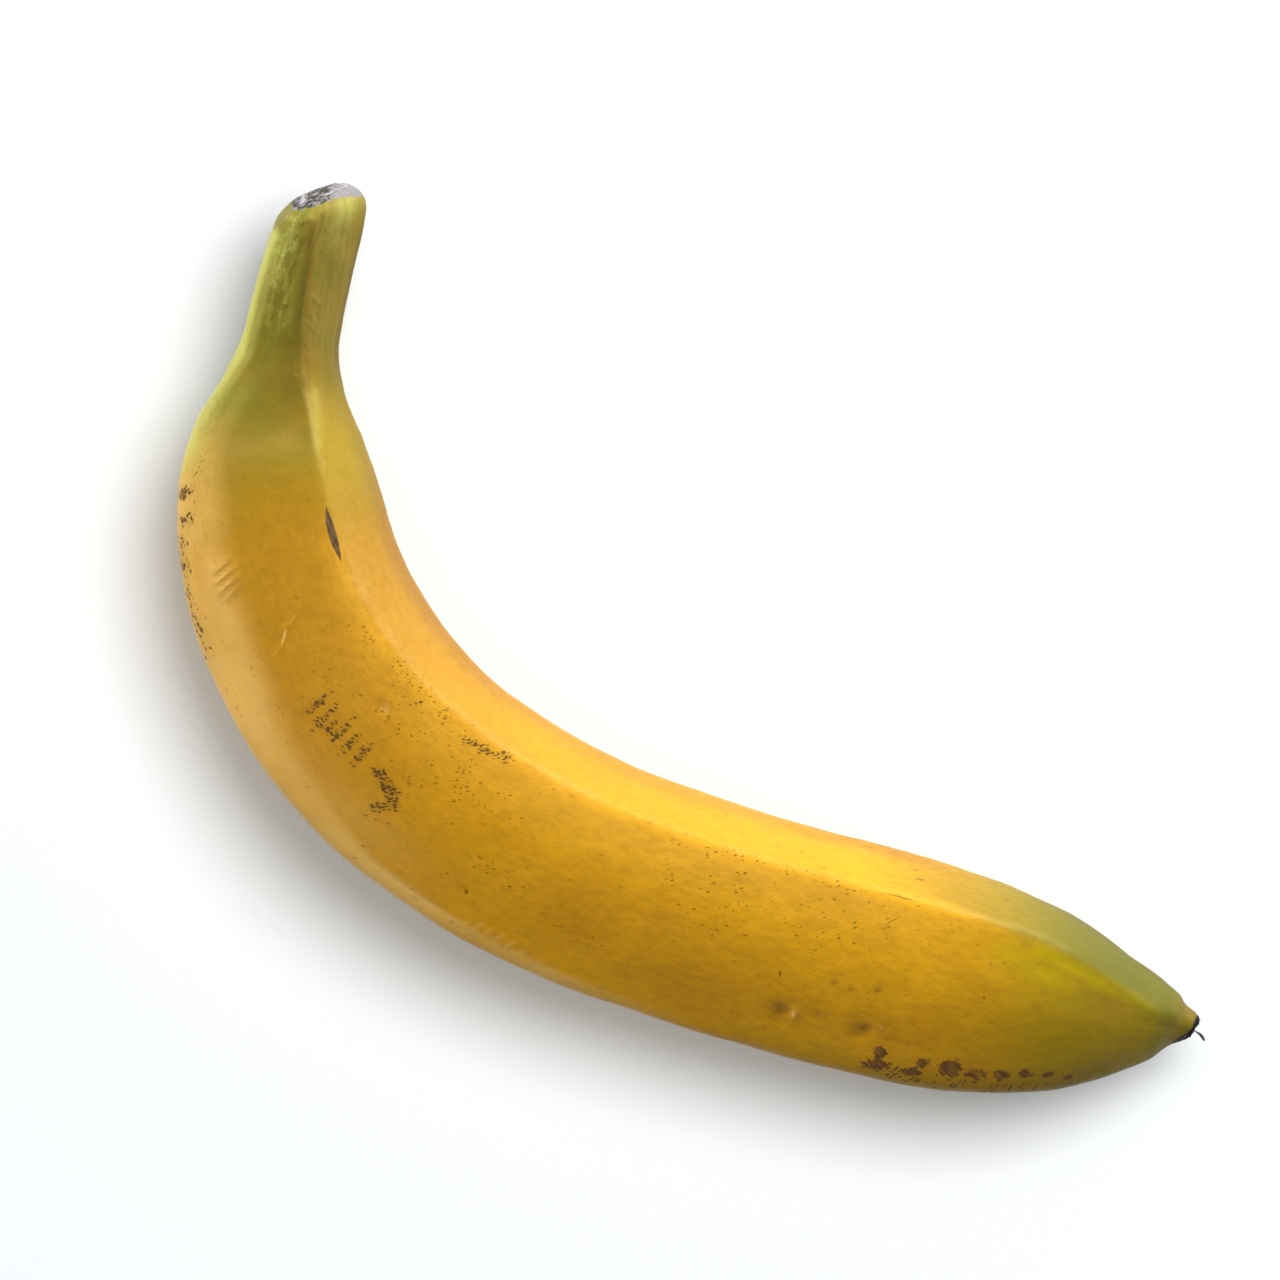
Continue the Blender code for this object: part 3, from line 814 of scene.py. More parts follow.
# Brown: painted shade along the outline of the hollow side, the thin brown line beside the ridge of the
# stalk, the lines in the healed oval, painted shade in the dents low on the outer side and the hollow beside
# them, small brown spots, and the skin before the crust
hollow_edge_shade = between(from_hollow_side, 2.4, 0.4)
paint("brown", most(
    0.24 * hollow_edge_shade * np.interp(along, (36, 50, 78, 90, 150, 165, 180), (0, 1, 1, 0.3, 0.3, 0.9, 0)),
    lines((0.4, 0.5, (9, 0.5), (16, 1.6), (22, 2.4), (29, 3.9)),
          *[(0.2, 0.3, (x, -8.3), (x + 1.3, -11.4)) for x in (55.0, 56.4, 57.7)]),
    spots((0.6, 158.0, -11.0, 1.2, 1.4), (0.6, 170.4, -10.5, 1.4, 1.0, 30), (0.35, 163.2, -9.6, 1.8, 1.0),
          (0.65, 164.5, -4.3, 0.6, 0.5), (0.65, 167.2, -4.6, 0.5, 0.5), (0.85, 171.1, -3.8, 0.7, 0.6)),
    0.35 * between(along, 215.0, 217.0)))

# A second place for each point, along the fruit and round it, so that dashes keep their shape
# where the peel curves down to the table
write(peel.data, "around", np.stack([along, turn * half_width(share_along) / MM, 0 * along], -1))

# %% [markdown]
# ## The finish of the peel
#
# The finish reads the straightened place of each point, so its noise has the right size in
# millimetres everywhere and no seam. Colour is built up as a painter would: the ripe yellow,
# which changes slowly from the shoulder to the tip; a painted highlight beside the upper ridge;
# then green, pale and lime areas with broken edges, some of them with painted rim light, fill
# light and shade; then brown marks, with painted shade in the dents and painted highlights and
# shadow on a few raised marks. A small shader group draws one lens-shaped mark at a given
# place, for the few scars that need an exact one. Waxy peel has a broad, soft, warm shine, so
# the roughness stays near the middle and the highlights have a yellow tint.

# %% Shader helpers
def tuned(tree, value, low, high, to_low=0.0, to_high=1.0):
    """A soft step that maps low to high onto a new range."""
    made = node(tree, "ShaderNodeMapRange", {"Value": value, "From Min": low, "From Max": high,
                                             "To Min": to_low, "To Max": to_high},
                interpolation_type="SMOOTHSTEP")
    return made.outputs["Result"]


def mixed(tree, share, first, second):
    made = node(tree, "ShaderNodeMix", data_type="RGBA")
    for key, value in ((0, share), (6, first), (7, second)):
        if isinstance(value, bpy.types.NodeSocket):
            tree.links.new(value, made.inputs[key])
        else:
            made.inputs[key].default_value = value if key == 0 else (*value, 1)
    return made.outputs[2]


def ramp(tree, value, stops):
    made = node(tree, "ShaderNodeValToRGB", {"Fac": value})
    elements = made.color_ramp.elements
    while len(elements) < len(stops):
        elements.new(0.5)
    for element, (place, colour) in zip(elements, stops):
        element.position, element.color = place, (*colour, 1)
    return made.outputs["Color"]


def painted(tree, name, output="Fac"):
    """What is stored on the points under that name."""
    made = node(tree, "ShaderNodeAttribute", attribute_type="GEOMETRY", attribute_name=name)
    return made.outputs[output]


def grain(tree, vector, scale, detail=2.0, roughness=0.5):
    made = node(tree, "ShaderNodeTexNoise", {"Vector": vector, "Scale": scale, "Detail": detail,
                                             "Roughness": roughness})
    return made.outputs["Fac"]


def turned_and_sized(tree, vector, degrees, size):
    """Turns a pattern about the upright and divides it into cells of that size."""
    made = node(tree, "ShaderNodeMapping", {
        "Vector": vector, "Rotation": (0, 0, math.radians(degrees))})
    return vector_maths(tree, "DIVIDE", made.outputs["Vector"], (size[0], size[1], 1.0))


def lens_group():
    """A mark with pointed ends: above 0 inside, 1 on its spine."""
    tree = bpy.data.node_groups.new("lens mark", "ShaderNodeTree")
    for label, kind in (("Vector", "NodeSocketVector"), ("Middle", "NodeSocketVector"),
                        ("Turn", "NodeSocketFloat"), ("Half size", "NodeSocketVector")):
        tree.interface.new_socket(label, in_out="INPUT", socket_type=kind)
    tree.interface.new_socket("Depth", in_out="OUTPUT", socket_type="NodeSocketFloat")
    start, end = tree.nodes.new("NodeGroupInput"), tree.nodes.new("NodeGroupOutput")
    apart = vector_maths(tree, "SUBTRACT", start.outputs["Vector"], start.outputs["Middle"])
    turned = node(tree, "ShaderNodeVectorRotate", {"Vector": apart, "Angle": start.outputs["Turn"]},
                  rotation_type="Z_AXIS").outputs[0]
    shares = vector_maths(tree, "DIVIDE", turned, start.outputs["Half size"])
    parts = node(tree, "ShaderNodeSeparateXYZ", {0: shares}).outputs
    tip = maths(tree, "MULTIPLY", parts[0], parts[0])
    depth = maths(tree, "SUBTRACT", maths(tree, "SUBTRACT", 1.0, tip), maths(tree, "ABSOLUTE", parts[1]))
    tree.links.new(depth, end.inputs[0])
    return tree


lens_mark = lens_group()


def lens(tree, vector, place, offset, half_length, half_wide, degrees=0.0):
    made = node(tree, "ShaderNodeGroup", node_tree=lens_mark)
    tree.links.new(vector, made.inputs["Vector"])
    made.inputs["Middle"].default_value = (place, offset, 0)
    made.inputs["Turn"].default_value = math.radians(-degrees)
    made.inputs["Half size"].default_value = (half_length, half_wide, 1)
    return made.outputs[0]


print("shader helpers ready")

# %% Colours of the peel
RIPE = (  # share of the length, colour
    (0.0, (0.18, 0.15, 0.025)),
    (0.09, (0.185, 0.145, 0.022)),
    (0.118, (0.115, 0.092, 0.011)),
    (0.15, (0.097, 0.079, 0.007)),
    (0.18, (0.178, 0.128, 0.012)),
    (0.207, (0.252, 0.147, 0.008)),
    (0.25, (0.34, 0.17, 0.01)),
    (0.36, (0.39, 0.19, 0.012)),
    (0.48, (0.48, 0.235, 0.008)),
    (0.81, (0.53, 0.27, 0.007)),
    (0.848, (0.44, 0.238, 0.006)),
    (0.9, (0.29, 0.188, 0.006)),
    (0.95, (0.225, 0.153, 0.005)),
    (1.0, (0.15, 0.118, 0.008)),
)
# The colour of the painted highlight beside the upper ridge
HIGHLIGHT_YELLOW = (0.54, 0.275, 0.02)
GREEN = (0.088, 0.1, 0.008)
DEEP_OLIVE = (0.095, 0.072, 0.008)
HOLLOW_OLIVE = (0.29, 0.19, 0.006)
LIME = (0.42, 0.42, 0.1)
YELLOW_GREEN = (0.36, 0.275, 0.002)
PALE = (0.62, 0.38, 0.1)
OCHRE = (0.33, 0.14, 0.008)
SCAR_BROWN = (0.07, 0.035, 0.012)
SCAB_BROWN = (0.1, 0.042, 0.018)
SPECK_BROWN = (0.15, 0.078, 0.004)
WARM_BROWN = (0.17, 0.085, 0.01)
DRY_GREY = (0.185, 0.175, 0.18)
DRY_DARK = (0.032, 0.03, 0.024)
TIP_DARK = (0.012, 0.009, 0.007)

# Painted areas, in the order in which they cover each other: name, tint, least strength. The deep, pale,
# ochre and lime areas partly hold painted shade, fill light and rim light.
AREAS = (("hollow", HOLLOW_OLIVE, 0.85), ("green", GREEN, 0.9), ("deep", DEEP_OLIVE, 0.8),
         ("pale", PALE, 0.35), ("strip", YELLOW_GREEN, 0.8), ("ochre_and_shade", OCHRE, 0.5), ("lime_and_rim_light", LIME, 0.35))


def broad_colour(tree, place, fine, broad):
    """Ripe yellow along the fruit, and then the painted areas with slightly broken edges."""
    along_it = node(tree, "ShaderNodeSeparateXYZ", {0: place}).outputs[0]
    colour = ramp(tree, maths(tree, "DIVIDE", along_it, LENGTH / MM), RIPE)
    # Painted highlight beside the upper ridge
    colour = mixed(tree, painted(tree, "ridge_highlight"), colour, HIGHLIGHT_YELLOW)
    colour = mixed(tree, tuned(tree, broad, 0.4, 0.75, 0.0, 0.22), colour, OCHRE)
    uneven = maths(tree, "MULTIPLY_ADD", broad, 0.5, maths(tree, "MULTIPLY", fine, 0.5))
    for name, tint, least in AREAS:
        amount = maths(tree, "MULTIPLY", painted(tree, name), tuned(tree, uneven, 0.3, 0.65, least, 1.0))
        colour = mixed(tree, amount, colour, tint)
    flecks = grain(tree, vector_maths(tree, "MULTIPLY", place, (0.6, 1.1, 1.1)), 0.9, 5.0, 0.7)
    flecks = maths(tree, "MULTIPLY", tuned(tree, flecks, 0.42, 0.72, 0.0, 0.6), painted(tree, "fleck"))
    return mixed(tree, flecks, colour, LIME)


print("colours:", len(RIPE), "steps of ripe yellow and", len(AREAS), "painted areas")

# %% Marks of the peel
# The lens-shaped scar: place along, offset, half length, half width, turn
SLIT = (53.9, 7.6, 5.5, 0.7, 3.5)
SLIT_TINTS = ((0.03, 0.018, 0.012), (0.11, 0.06, 0.035))
# Single marks: place along, offset, half length, half width, turn, strength
BROWN_MARKS_AND_SHADOW = (
    (171.0, 10.6, 3.2, 0.2, 0, 0.7), (170.2, 6.6, 1.3, 0.17, 52, 0.6), (171.0, 7.3, 0.9, 0.15, 48, 0.5),
    (173.3, 13.9, 0.9, 0.22, 0, 0.8), (172.4, 15.1, 0.6, 0.18, 6, 0.6), (187.0, 13.8, 0.8, 0.2, -6, 0.7),
    (156.4, -5.2, 0.6, 0.3, 100, 0.9), (186.5, 3.9, 0.35, 0.3, 0, 0.6), (186.6, -1.2, 0.38, 0.32, 0, 0.7),
    (110.2, -10.9, 0.6, 0.4, -45, 0.75), (96.2, -1.6, 0.4, 0.25, 0, 0.6),
    # A painted shadow beside the raised scratch, then brown lines in the healed oval
    (66.9, -4.7, 1.5, 0.16, -40, 0.35), (55.5, -9.9, 1.5, 0.16, -66, 0.3),
    (56.8, -9.8, 1.7, 0.16, -66, 0.35), (58.1, -9.8, 1.4, 0.16, -66, 0.3),
)
# Pale marks: painted highlights along the raised scratch and on the lips of the two dents, and pale lines in
# the healed oval
PALE_MARKS_AND_HIGHLIGHTS = (
    (67.2, -4.2, 1.7, 0.28, -40, 0.6), (65.2, -1.9, 1.6, 0.18, -58, 0.28),
    (68.8, -6.3, 1.1, 0.16, -75, 0.22), (55.0, -9.7, 1.5, 0.24, -66, 0.3),
    (56.3, -9.6, 1.8, 0.26, -66, 0.42), (57.6, -9.6, 1.7, 0.24, -66, 0.38),
    (58.8, -9.5, 1.3, 0.2, -66, 0.28), (159.9, -10.6, 0.6, 0.26, 100, 0.7),
    (173.0, -9.3, 0.7, 0.26, 70, 0.35),
)


def cell_marks(tree, coordinates, density, size, shift):
    """Dots or dashes: one in each cell of a loose pattern, drawn where its luck beats the density."""
    moved = vector_maths(tree, "ADD", coordinates, shift)
    cells = node(tree, "ShaderNodeTexVoronoi", {"Vector": moved, "Scale": 1.0, "Randomness": 0.85},
                 voronoi_dimensions="2D")
    luck = node(tree, "ShaderNodeSeparateColor", {0: cells.outputs["Color"]}).outputs
    drawn = tuned(tree, maths(tree, "SUBTRACT", density, luck[0]), -0.04, 0.08)
    reach = maths(tree, "MULTIPLY_ADD", luck[1], size * 0.8, size * 0.35)
    inside = tuned(tree, maths(tree, "SUBTRACT", reach, cells.outputs["Distance"]), -0.04, 0.08)
    return maths(tree, "MULTIPLY", drawn, inside)


def marks_on(tree, colour, place, around, fine):
    """Adds brown lines and painted shade, speckles, scuffs, scabs and single scars with a few painted
    highlights and a painted shadow, and gives their depth.
    """
    wobble = node(tree, "ShaderNodeTexNoise", {"Vector": place, "Scale": 1.6, "Detail": 2.0}).outputs["Color"]
    wobble = scaled(tree, vector_maths(tree, "SUBTRACT", wobble, (0.5, 0.5, 0.5)), 0.5)
    shaken = vector_maths(tree, "ADD", around, wobble)
    slightly_shaken = vector_maths(tree, "ADD", place, scaled(tree, wobble, 0.5))

    # The brown mask is brown marks together with painted shade along the hollow outline and in the dents
    brown = maths(tree, "MULTIPLY", painted(tree, "brown"), tuned(tree, fine, 0.25, 0.6, 0.5, 1.0))
    colour = mixed(tree, brown, colour, WARM_BROWN)

    clumps = tuned(tree, grain(tree, place, 0.45, 2.0), 0.35, 0.65, 0.1, 1.6)
    often = maths(tree, "MULTIPLY", painted(tree, "speckle"), clumps)
    dots = cell_marks(tree, turned_and_sized(tree, shaken, -30, (1.0, 0.4)), often, 0.34, (3, 8, 0))
    colour = mixed(tree, maths(tree, "MULTIPLY", dots, 0.8), colour, SPECK_BROWN)

    scuff = painted(tree, "scuff")
    dashes = cell_marks(tree, turned_and_sized(tree, shaken, -50, (0.85, 0.3)), scuff, 0.58, (0, 0, 0))
    colour = mixed(tree, maths(tree, "MULTIPLY", scuff, 0.22), colour, SCAR_BROWN)
    colour = mixed(tree, maths(tree, "MULTIPLY", dashes, 0.9), colour, SCAR_BROWN)

    ragged = maths(tree, "SUBTRACT", grain(tree, place, 1.3, 3.0), 0.5)
    scab = tuned(tree, maths(tree, "MULTIPLY_ADD", ragged, 1.7, painted(tree, "scab")), 0.02, 0.16)
    scratches = grain(tree, turned_and_sized(tree, place, 32, (4.0, 0.22)), 1.0, 2.0)
    scab = maths(tree, "MULTIPLY", scab, tuned(tree, scratches, 0.38, 0.5, 0.35, 0.95))
    colour = mixed(tree, scab, colour, SCAB_BROWN)

    slit = tuned(tree, lens(tree, slightly_shaken, *SLIT), 0.0, 0.3)
    streaks = grain(tree, vector_maths(tree, "DIVIDE", place, (2.2, 0.16, 1.0)), 1.0)
    slit_colour = mixed(tree, tuned(tree, streaks, 0.4, 0.62), *SLIT_TINTS)
    colour = mixed(tree, maths(tree, "MULTIPLY", slit, 0.93), colour, slit_colour)

    for tint, marks in ((SPECK_BROWN, BROWN_MARKS_AND_SHADOW), (PALE, PALE_MARKS_AND_HIGHLIGHTS)):
        for *shape, strength in marks:
            depth = tuned(tree, lens(tree, slightly_shaken, *shape), 0.0, 0.6, 0.0, strength)
            colour = mixed(tree, depth, colour, tint)
    sunk = maths(tree, "ADD", slit, maths(tree, "MULTIPLY", dashes, 0.4))
    return colour, maths(tree, "ADD", maths(tree, "MULTIPLY", scab, 0.6), sunk)


print("single marks:", len(BROWN_MARKS_AND_SHADOW) + len(PALE_MARKS_AND_HIGHLIGHTS))


# %% Put the finish of the peel together
def dusted(tree, place, colour, strength):
    """Lays grey dust over a colour, in fine patches."""
    patches = tuned(tree, grain(tree, place, 1.3, 4.0), 0.45, 0.6, 0.0, strength)
    return mixed(tree, patches, colour, DRY_GREY)


def dry_colour(tree, place):
    """Papery skin round the cut, in dark and grey patches."""
    patches = grain(tree, place, 0.9, 3.0, 0.65)
    across_it = node(tree, "ShaderNodeSeparateXYZ", {0: place}).outputs[1]
    greyer = tuned(tree, maths(tree, "MULTIPLY_ADD", patches, 5.0, across_it), 2.4, 4.6)
    return dusted(tree, place, mixed(tree, greyer, DRY_DARK, DRY_GREY), 0.85)


def empty_finish(material):
    """Clears a material, and gives its node tree."""
    material.use_nodes = True
    material.node_tree.nodes.clear()
    return material.node_tree


def finish_peel(material):
    """Puts the colour, the gloss and the bump of the peel into its material."""
    tree = empty_finish(material)
    place, around = painted(tree, "straight", "Vector"), painted(tree, "around", "Vector")
    broad = grain(tree, vector_maths(tree, "MULTIPLY", place, (0.6, 1.0, 1.0)), 0.11, 3.0)
    fine = grain(tree, vector_maths(tree, "MULTIPLY", place, (0.45, 1.0, 1.0)), 1.1, 4.0, 0.6)
    colour = broad_colour(tree, place, fine, broad)
    colour = mixed(tree, tuned(tree, fine, 0.35, 0.75, 0.0, 0.24), colour, WARM_BROWN)
    colour, sunk = marks_on(tree, colour, place, around, fine)
    shift = maths(tree, "SUBTRACT", grain(tree, place, 1.5, 3.0), 0.5)
    dry = tuned(tree, maths(tree, "MULTIPLY_ADD", shift, 1.6, painted(tree, "dry")), 0.4, 0.6)
    colour = mixed(tree, dry, colour, dry_colour(tree, place))
    burnt = tuned(tree, maths(tree, "MULTIPLY_ADD", shift, 1.0, painted(tree, "dark")), 0.2, 0.75)
    colour = mixed(tree, burnt, colour, TIP_DARK)
    pores = grain(tree, place, 3.2, 2.0)
    skin = grain(tree, place, 0.75, 3.0, 0.55)
    level = maths(tree, "MULTIPLY_ADD", skin, 0.6, maths(tree, "MULTIPLY", pores, 0.16))
    level = maths(tree, "SUBTRACT", level, maths(tree, "MULTIPLY", sunk, 0.25))
    bump = node(tree, "ShaderNodeBump", {"Strength": 0.35, "Distance": 0.25 * MM, "Height": level})
    gloss = maths(tree, "MULTIPLY_ADD", fine, 0.16, 0.38)
    gloss = maths(tree, "ADD", gloss, maths(tree, "MULTIPLY", maths(tree, "ADD", sunk, dry), 0.2))
    shader = node(tree, "ShaderNodeBsdfPrincipled", {
        "Base Color": colour, "Roughness": gloss, "Normal": bump.outputs[0], "Specular IOR Level": 0.22,
        "Specular Tint": (1.0, 0.82, 0.4, 1.0)})
    node(tree, "ShaderNodeOutputMaterial", {"Surface": shader.outputs[0]})
    print("peel finish:", len(tree.nodes), "nodes")


finish_peel(peel_finish)
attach(peel, "root")
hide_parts("banana")
fruit_pieces = [peel]

# %% [markdown]
# ## The dry cut of the stalk
#
# Where the fruit was cut from its bunch, the stalk ends in a shallow dish: a dry, grey lip round
# a dark, mottled middle with the ends of fibres in it. It has the same section as the stalk,
# so the tree that grew the peel can grow it too. The guide's rings only change in size and
# push: out over the dish, over the lip, and back inside the peel, where the shell closes.
# Noise then roughens the lip, and the edge is drawn back just as the peel's was.

# %% Grow the cut face
def roughen(piece, size, amount, shift=0.0):
    """Moves the points of a piece along their normals by noise. Size and amount are in millimetres."""
    rows = points_of(piece.data)
    lumps = np.array([noise.noise(Vector(point) / (size * MM) + Vector((shift, 0, 0))) for point in rows])
    move_points(piece.data, rows + points_of(piece.data, "normal") * (lumps * amount * MM)[:, None])


def grow_end(name, material, rings, points_round):
    """A closed shell on one end of the fruit. Rings: share, inset in mm, size, push in mm."""
    share, inset, size, push = np.array(rings, float).T
    guide = guide_mesh(name + "_guide", share, inset * MM, size, push * MM)
    return swept(guide, name, material, points_round)


cut_finish = bpy.data.materials.new("cut_finish")
rim = RIM_ROUNDING / MM
dish = [(0, rim, 0.85 * k / 11, -0.45 + 0.2 * (k / 11) ** 2) for k in range(12)]
lip = [(0, rim, 0.91, -0.24), (0, rim, 0.97, -0.18), (0, rim, 1.02, -0.02)]
inside = [(0, rim, 1.02, 0.5), (0, rim, 0.8, 1.0), (0, rim, 0.4, 1.2), (0, rim, 0, 1.2)]
cut_face = grow_end("cut_face", cut_finish, dish + lip + inside, 120)
across_cut = values_of(cut_face.data, "straight", 3)[:, 1]
drawn = forward_at_cut * broken_off(across_cut)[:, None] * ROUND_BACK * MM
move_points(cut_face.data, points_of(cut_face.data) + drawn)
roughen(cut_face, 1.1, 0.2)
roughen(cut_face, 0.45, 0.12, 5.0)
print("cut face:", triangles(cut_face.data), "triangles")

# %% [markdown]
# The ends of the fibres are short stiff stubs that stand on the dish. They repeat and follow
# a surface, so a tree scatters them: points on the faces near the middle, a small tapered
# stub on each, turned along the face's normal and scaled by chance with a fixed seed.

# %% Scatter fibre ends
def random_vector(tree, seed, low, high):
    inputs = {"Seed": seed, "Min": low, "Max": high}
    return node(tree, "FunctionNodeRandomValue", inputs, data_type="FLOAT_VECTOR").outputs["Value"]


def compared(tree, first, way, second):
    both = {0: first, 1: second}
    return node(tree, "FunctionNodeCompare", both, data_type="FLOAT", operation=way).outputs[0]


def stubs_tree():
    tree, start, end = new_tree("scatter stubs", {
        "Density": "Float", "Width": "Float", "Height": "Float", "Reach": "Float", "Bend": "Float",
        "Seed": "Int", "Finish": "Material"})
    given = start.outputs
    near = compared(tree, read(tree, "size"), "LESS_THAN", given["Reach"])
    front = compared(tree, read(tree, "push_out"), "GREATER_THAN", 0.5)
    chosen = node(tree, "FunctionNodeBooleanMath", {0: near, 1: front}, operation="AND").outputs[0]
    scatter = node(tree, "GeometryNodeDistributePointsOnFaces", {
        "Mesh": given["Geometry"], "Selection": chosen, "Density": given["Density"], "Seed": given["Seed"]})
    top, foot = maths(tree, "MULTIPLY", given["Width"], 0.25), maths(tree, "MULTIPLY", given["Width"], 0.5)
    rod = node(tree, "GeometryNodeMeshCone", {
        "Vertices": 6, "Side Segments": 3, "Radius Top": top, "Radius Bottom": foot,
        "Depth": given["Height"]})
    stretch = random_vector(tree, given["Seed"], (0.6, 0.6, 0.35), (1.5, 1.5, 1.3))
    lean = scaled(tree, random_vector(tree, given["Seed"], (-1, -1, -1), (1, 1, 1)), given["Bend"])
    lean = node(tree, "FunctionNodeEulerToRotation", {0: lean}).outputs[0]
    tilted = node(tree, "FunctionNodeRotateRotation", {
        "Rotation": scatter.outputs["Rotation"], "Rotate By": lean}, rotation_space="LOCAL").outputs[0]
    stubs = node(tree, "GeometryNodeInstanceOnPoints", {
        "Points": scatter.outputs["Points"], "Instance": rod.outputs["Mesh"], "Rotation": tilted,
        "Scale": stretch}).outputs[0]
    make_real(tree, stubs, given["Finish"], end)
    return tree


def mark_front(piece, outward):
    """Marks the points that look out of the end, where stubs may stand."""
    write(piece.data, "push_out", points_of(piece.data, "normal") @ outward > 0.3)


scatter_stubs = stubs_tree()
fibre_finish = bpy.data.materials.new("fibre_finish")
mark_front(cut_face, -forward_at_cut)
fibre_ends = run_tree(scatter_stubs, cut_face.data, "fibre_ends", {
    "Density": 1.6e6, "Width": 0.24 * MM, "Height": 0.28 * MM, "Reach": 0.8, "Bend": 0.25, "Seed": 4,
    "Finish": fibre_finish})
print("fibre ends:", triangles(fibre_ends.data), "triangles")

# %% [markdown]
# ## The dry remains of the flower
#
# At the other end the flower fell off and left a small black crust, wider than the neck of
# the tip and lumpy, with a few bristles and one longer dry thread that hangs off it. The
# crust is grown by the same sweep, the bristles are scattered by the same tree as the fibre
# ends, and the thread is a line of a few points swept by a small circle that swells in its
# middle.

# %% Grow the blossom crust and its bristles
crust_finish = bpy.data.materials.new("crust_finish")
back = [(0.9975, 0.5, k / 4, 0) for k in range(5)]
skirt = [(0.9985, 0.12, 1, 0), (0.9992, 0.18, 1, 0.03)]
face = [(1, 0.3, 1 - k / 9, 0.08 + 0.32 * math.sin(math.pi * min(1, k / 5) / 2)) for k in range(10)]
crust = grow_end("blossom_crust", crust_finish, back + skirt + face, 72)
roughen(crust, 0.9, 0.28, 2.0)
roughen(crust, 0.4, 0.14, 9.0)
forward_at_tip = directions(np.array([1.0]))[0][0]
mark_front(crust, forward_at_tip)
bristles = run_tree(scatter_stubs, crust.data, "blossom_bristles", {
    "Density": 1.2e6, "Width": 0.16 * MM, "Height": 0.3 * MM, "Reach": 0.9, "Bend": 0.6, "Seed": 9,
    "Finish": crust_finish})
print("crust:", triangles(crust.data), "and bristles:", triangles(bristles.data), "triangles")


# %% Sweep the dry thread
def thread_tree():
    tree, start, end = new_tree("sweep a thread", {"Thickness": "Float", "Finish": "Material"})
    given = start.outputs
    line = node(tree, "GeometryNodeMeshToCurve", {"Mesh": given["Geometry"]}).outputs["Curve"]
    line = node(tree, "GeometryNodeCurveSplineType", {"Curve": line}, spline_type="CATMULL_ROM").outputs[0]
    line = node(tree, "GeometryNodeResampleCurve", {"Curve": line, "Count": 40}).outputs[0]
    along_it = node(tree, "GeometryNodeSplineParameter").outputs["Factor"]
    swelling = maths(tree, "SINE", maths(tree, "MULTIPLY", maths(tree, "POWER", along_it, 1.5), 2.6))
    thick = maths(tree, "MULTIPLY", maths(tree, "MULTIPLY_ADD", swelling, 0.85, 0.15), given["Thickness"])
    circle = node(tree, "GeometryNodeCurvePrimitiveCircle", {"Resolution": 8, "Radius": 1.0}, mode="RADIUS")
    tube = node(tree, "GeometryNodeCurveToMesh", {
        "Curve": line, "Profile Curve": circle.outputs["Curve"], "Fill Caps": True, "Scale": thick})
    tube = node(tree, "GeometryNodeSetShadeSmooth", {"Geometry": tube.outputs[0]}).outputs[0]
    make_real(tree, tube, given["Finish"], end)
    return tree


# Points in millimetres, from inside the crust outwards
THREAD = ((92.9, 31.5, 13.4), (93.9, 31.65, 13.2), (94.5, 31.75, 13.0), (95.1, 31.65, 12.9),
          (95.6, 31.5, 12.8))
thread_line = bpy.data.meshes.new("thread_line")
thread_line.from_pydata([Vector(point) * MM for point in THREAD],
                        [(k, k + 1) for k in range(len(THREAD) - 1)], [])
thread_finish = bpy.data.materials.new("thread_finish")
thread = run_tree(thread_tree(), thread_line, "dry_thread", {
    "Thickness": 0.24 * MM, "Finish": thread_finish})
print("thread:", triangles(thread.data), "triangles, faces outwards:", volume(thread.data) > 0)

# %% [markdown]
# ## Finishes of the dry ends
#
# Both ends are dead, dry tissue: no shine, and a colour that changes within a millimetre. The
# cut is pale grey where the pith dried and nearly black where the sap did, with fine fibres
# across it. The crust is black-brown with paler, dusty high spots. Each finish mixes two
# noises of different sizes and lifts a rough bump from the finer one.

# %% Paint the dry ends
# Tints from dark to pale
CUT_TINTS = ((0.15, 0.145, 0.15), (0.26, 0.255, 0.26), (0.34, 0.33, 0.335))
FIBRE_TINTS = ((0.03, 0.025, 0.02), (0.14, 0.13, 0.12), (0.3, 0.29, 0.28))
CRUST_TINTS = ((0.004, 0.0035, 0.003), (0.008, 0.007, 0.006), (0.02, 0.017, 0.014))
THREAD_TINTS = ((0.03, 0.025, 0.02), (0.08, 0.07, 0.06), (0.16, 0.14, 0.12))


def upper_cut(tree, place, lumps, colour):
    """Darkens and greys the upper part of the cut: black on its outer side, grey on the other."""
    from_middle = vector_maths(tree, "SUBTRACT", place, tuple(ends[0] / MM))
    lift = node(tree, "ShaderNodeSeparateXYZ", {0: from_middle}).outputs[2]
    inner = node(tree, "ShaderNodeVectorMath", {0: from_middle, 1: tuple(side_at_cut)},
                 operation="DOT_PRODUCT").outputs["Value"]
    stray = maths(tree, "SUBTRACT", lumps, 0.5)
    greyer = tuned(tree, maths(tree, "MULTIPLY_ADD", stray, 5.0, inner), 0.0, 1.6)
    tint = dusted(tree, place, mixed(tree, greyer, DRY_DARK, DRY_GREY), 0.6)
    return mixed(tree, tuned(tree, maths(tree, "MULTIPLY_ADD", stray, 0.8, lift), 1.7, 2.4), colour, tint)


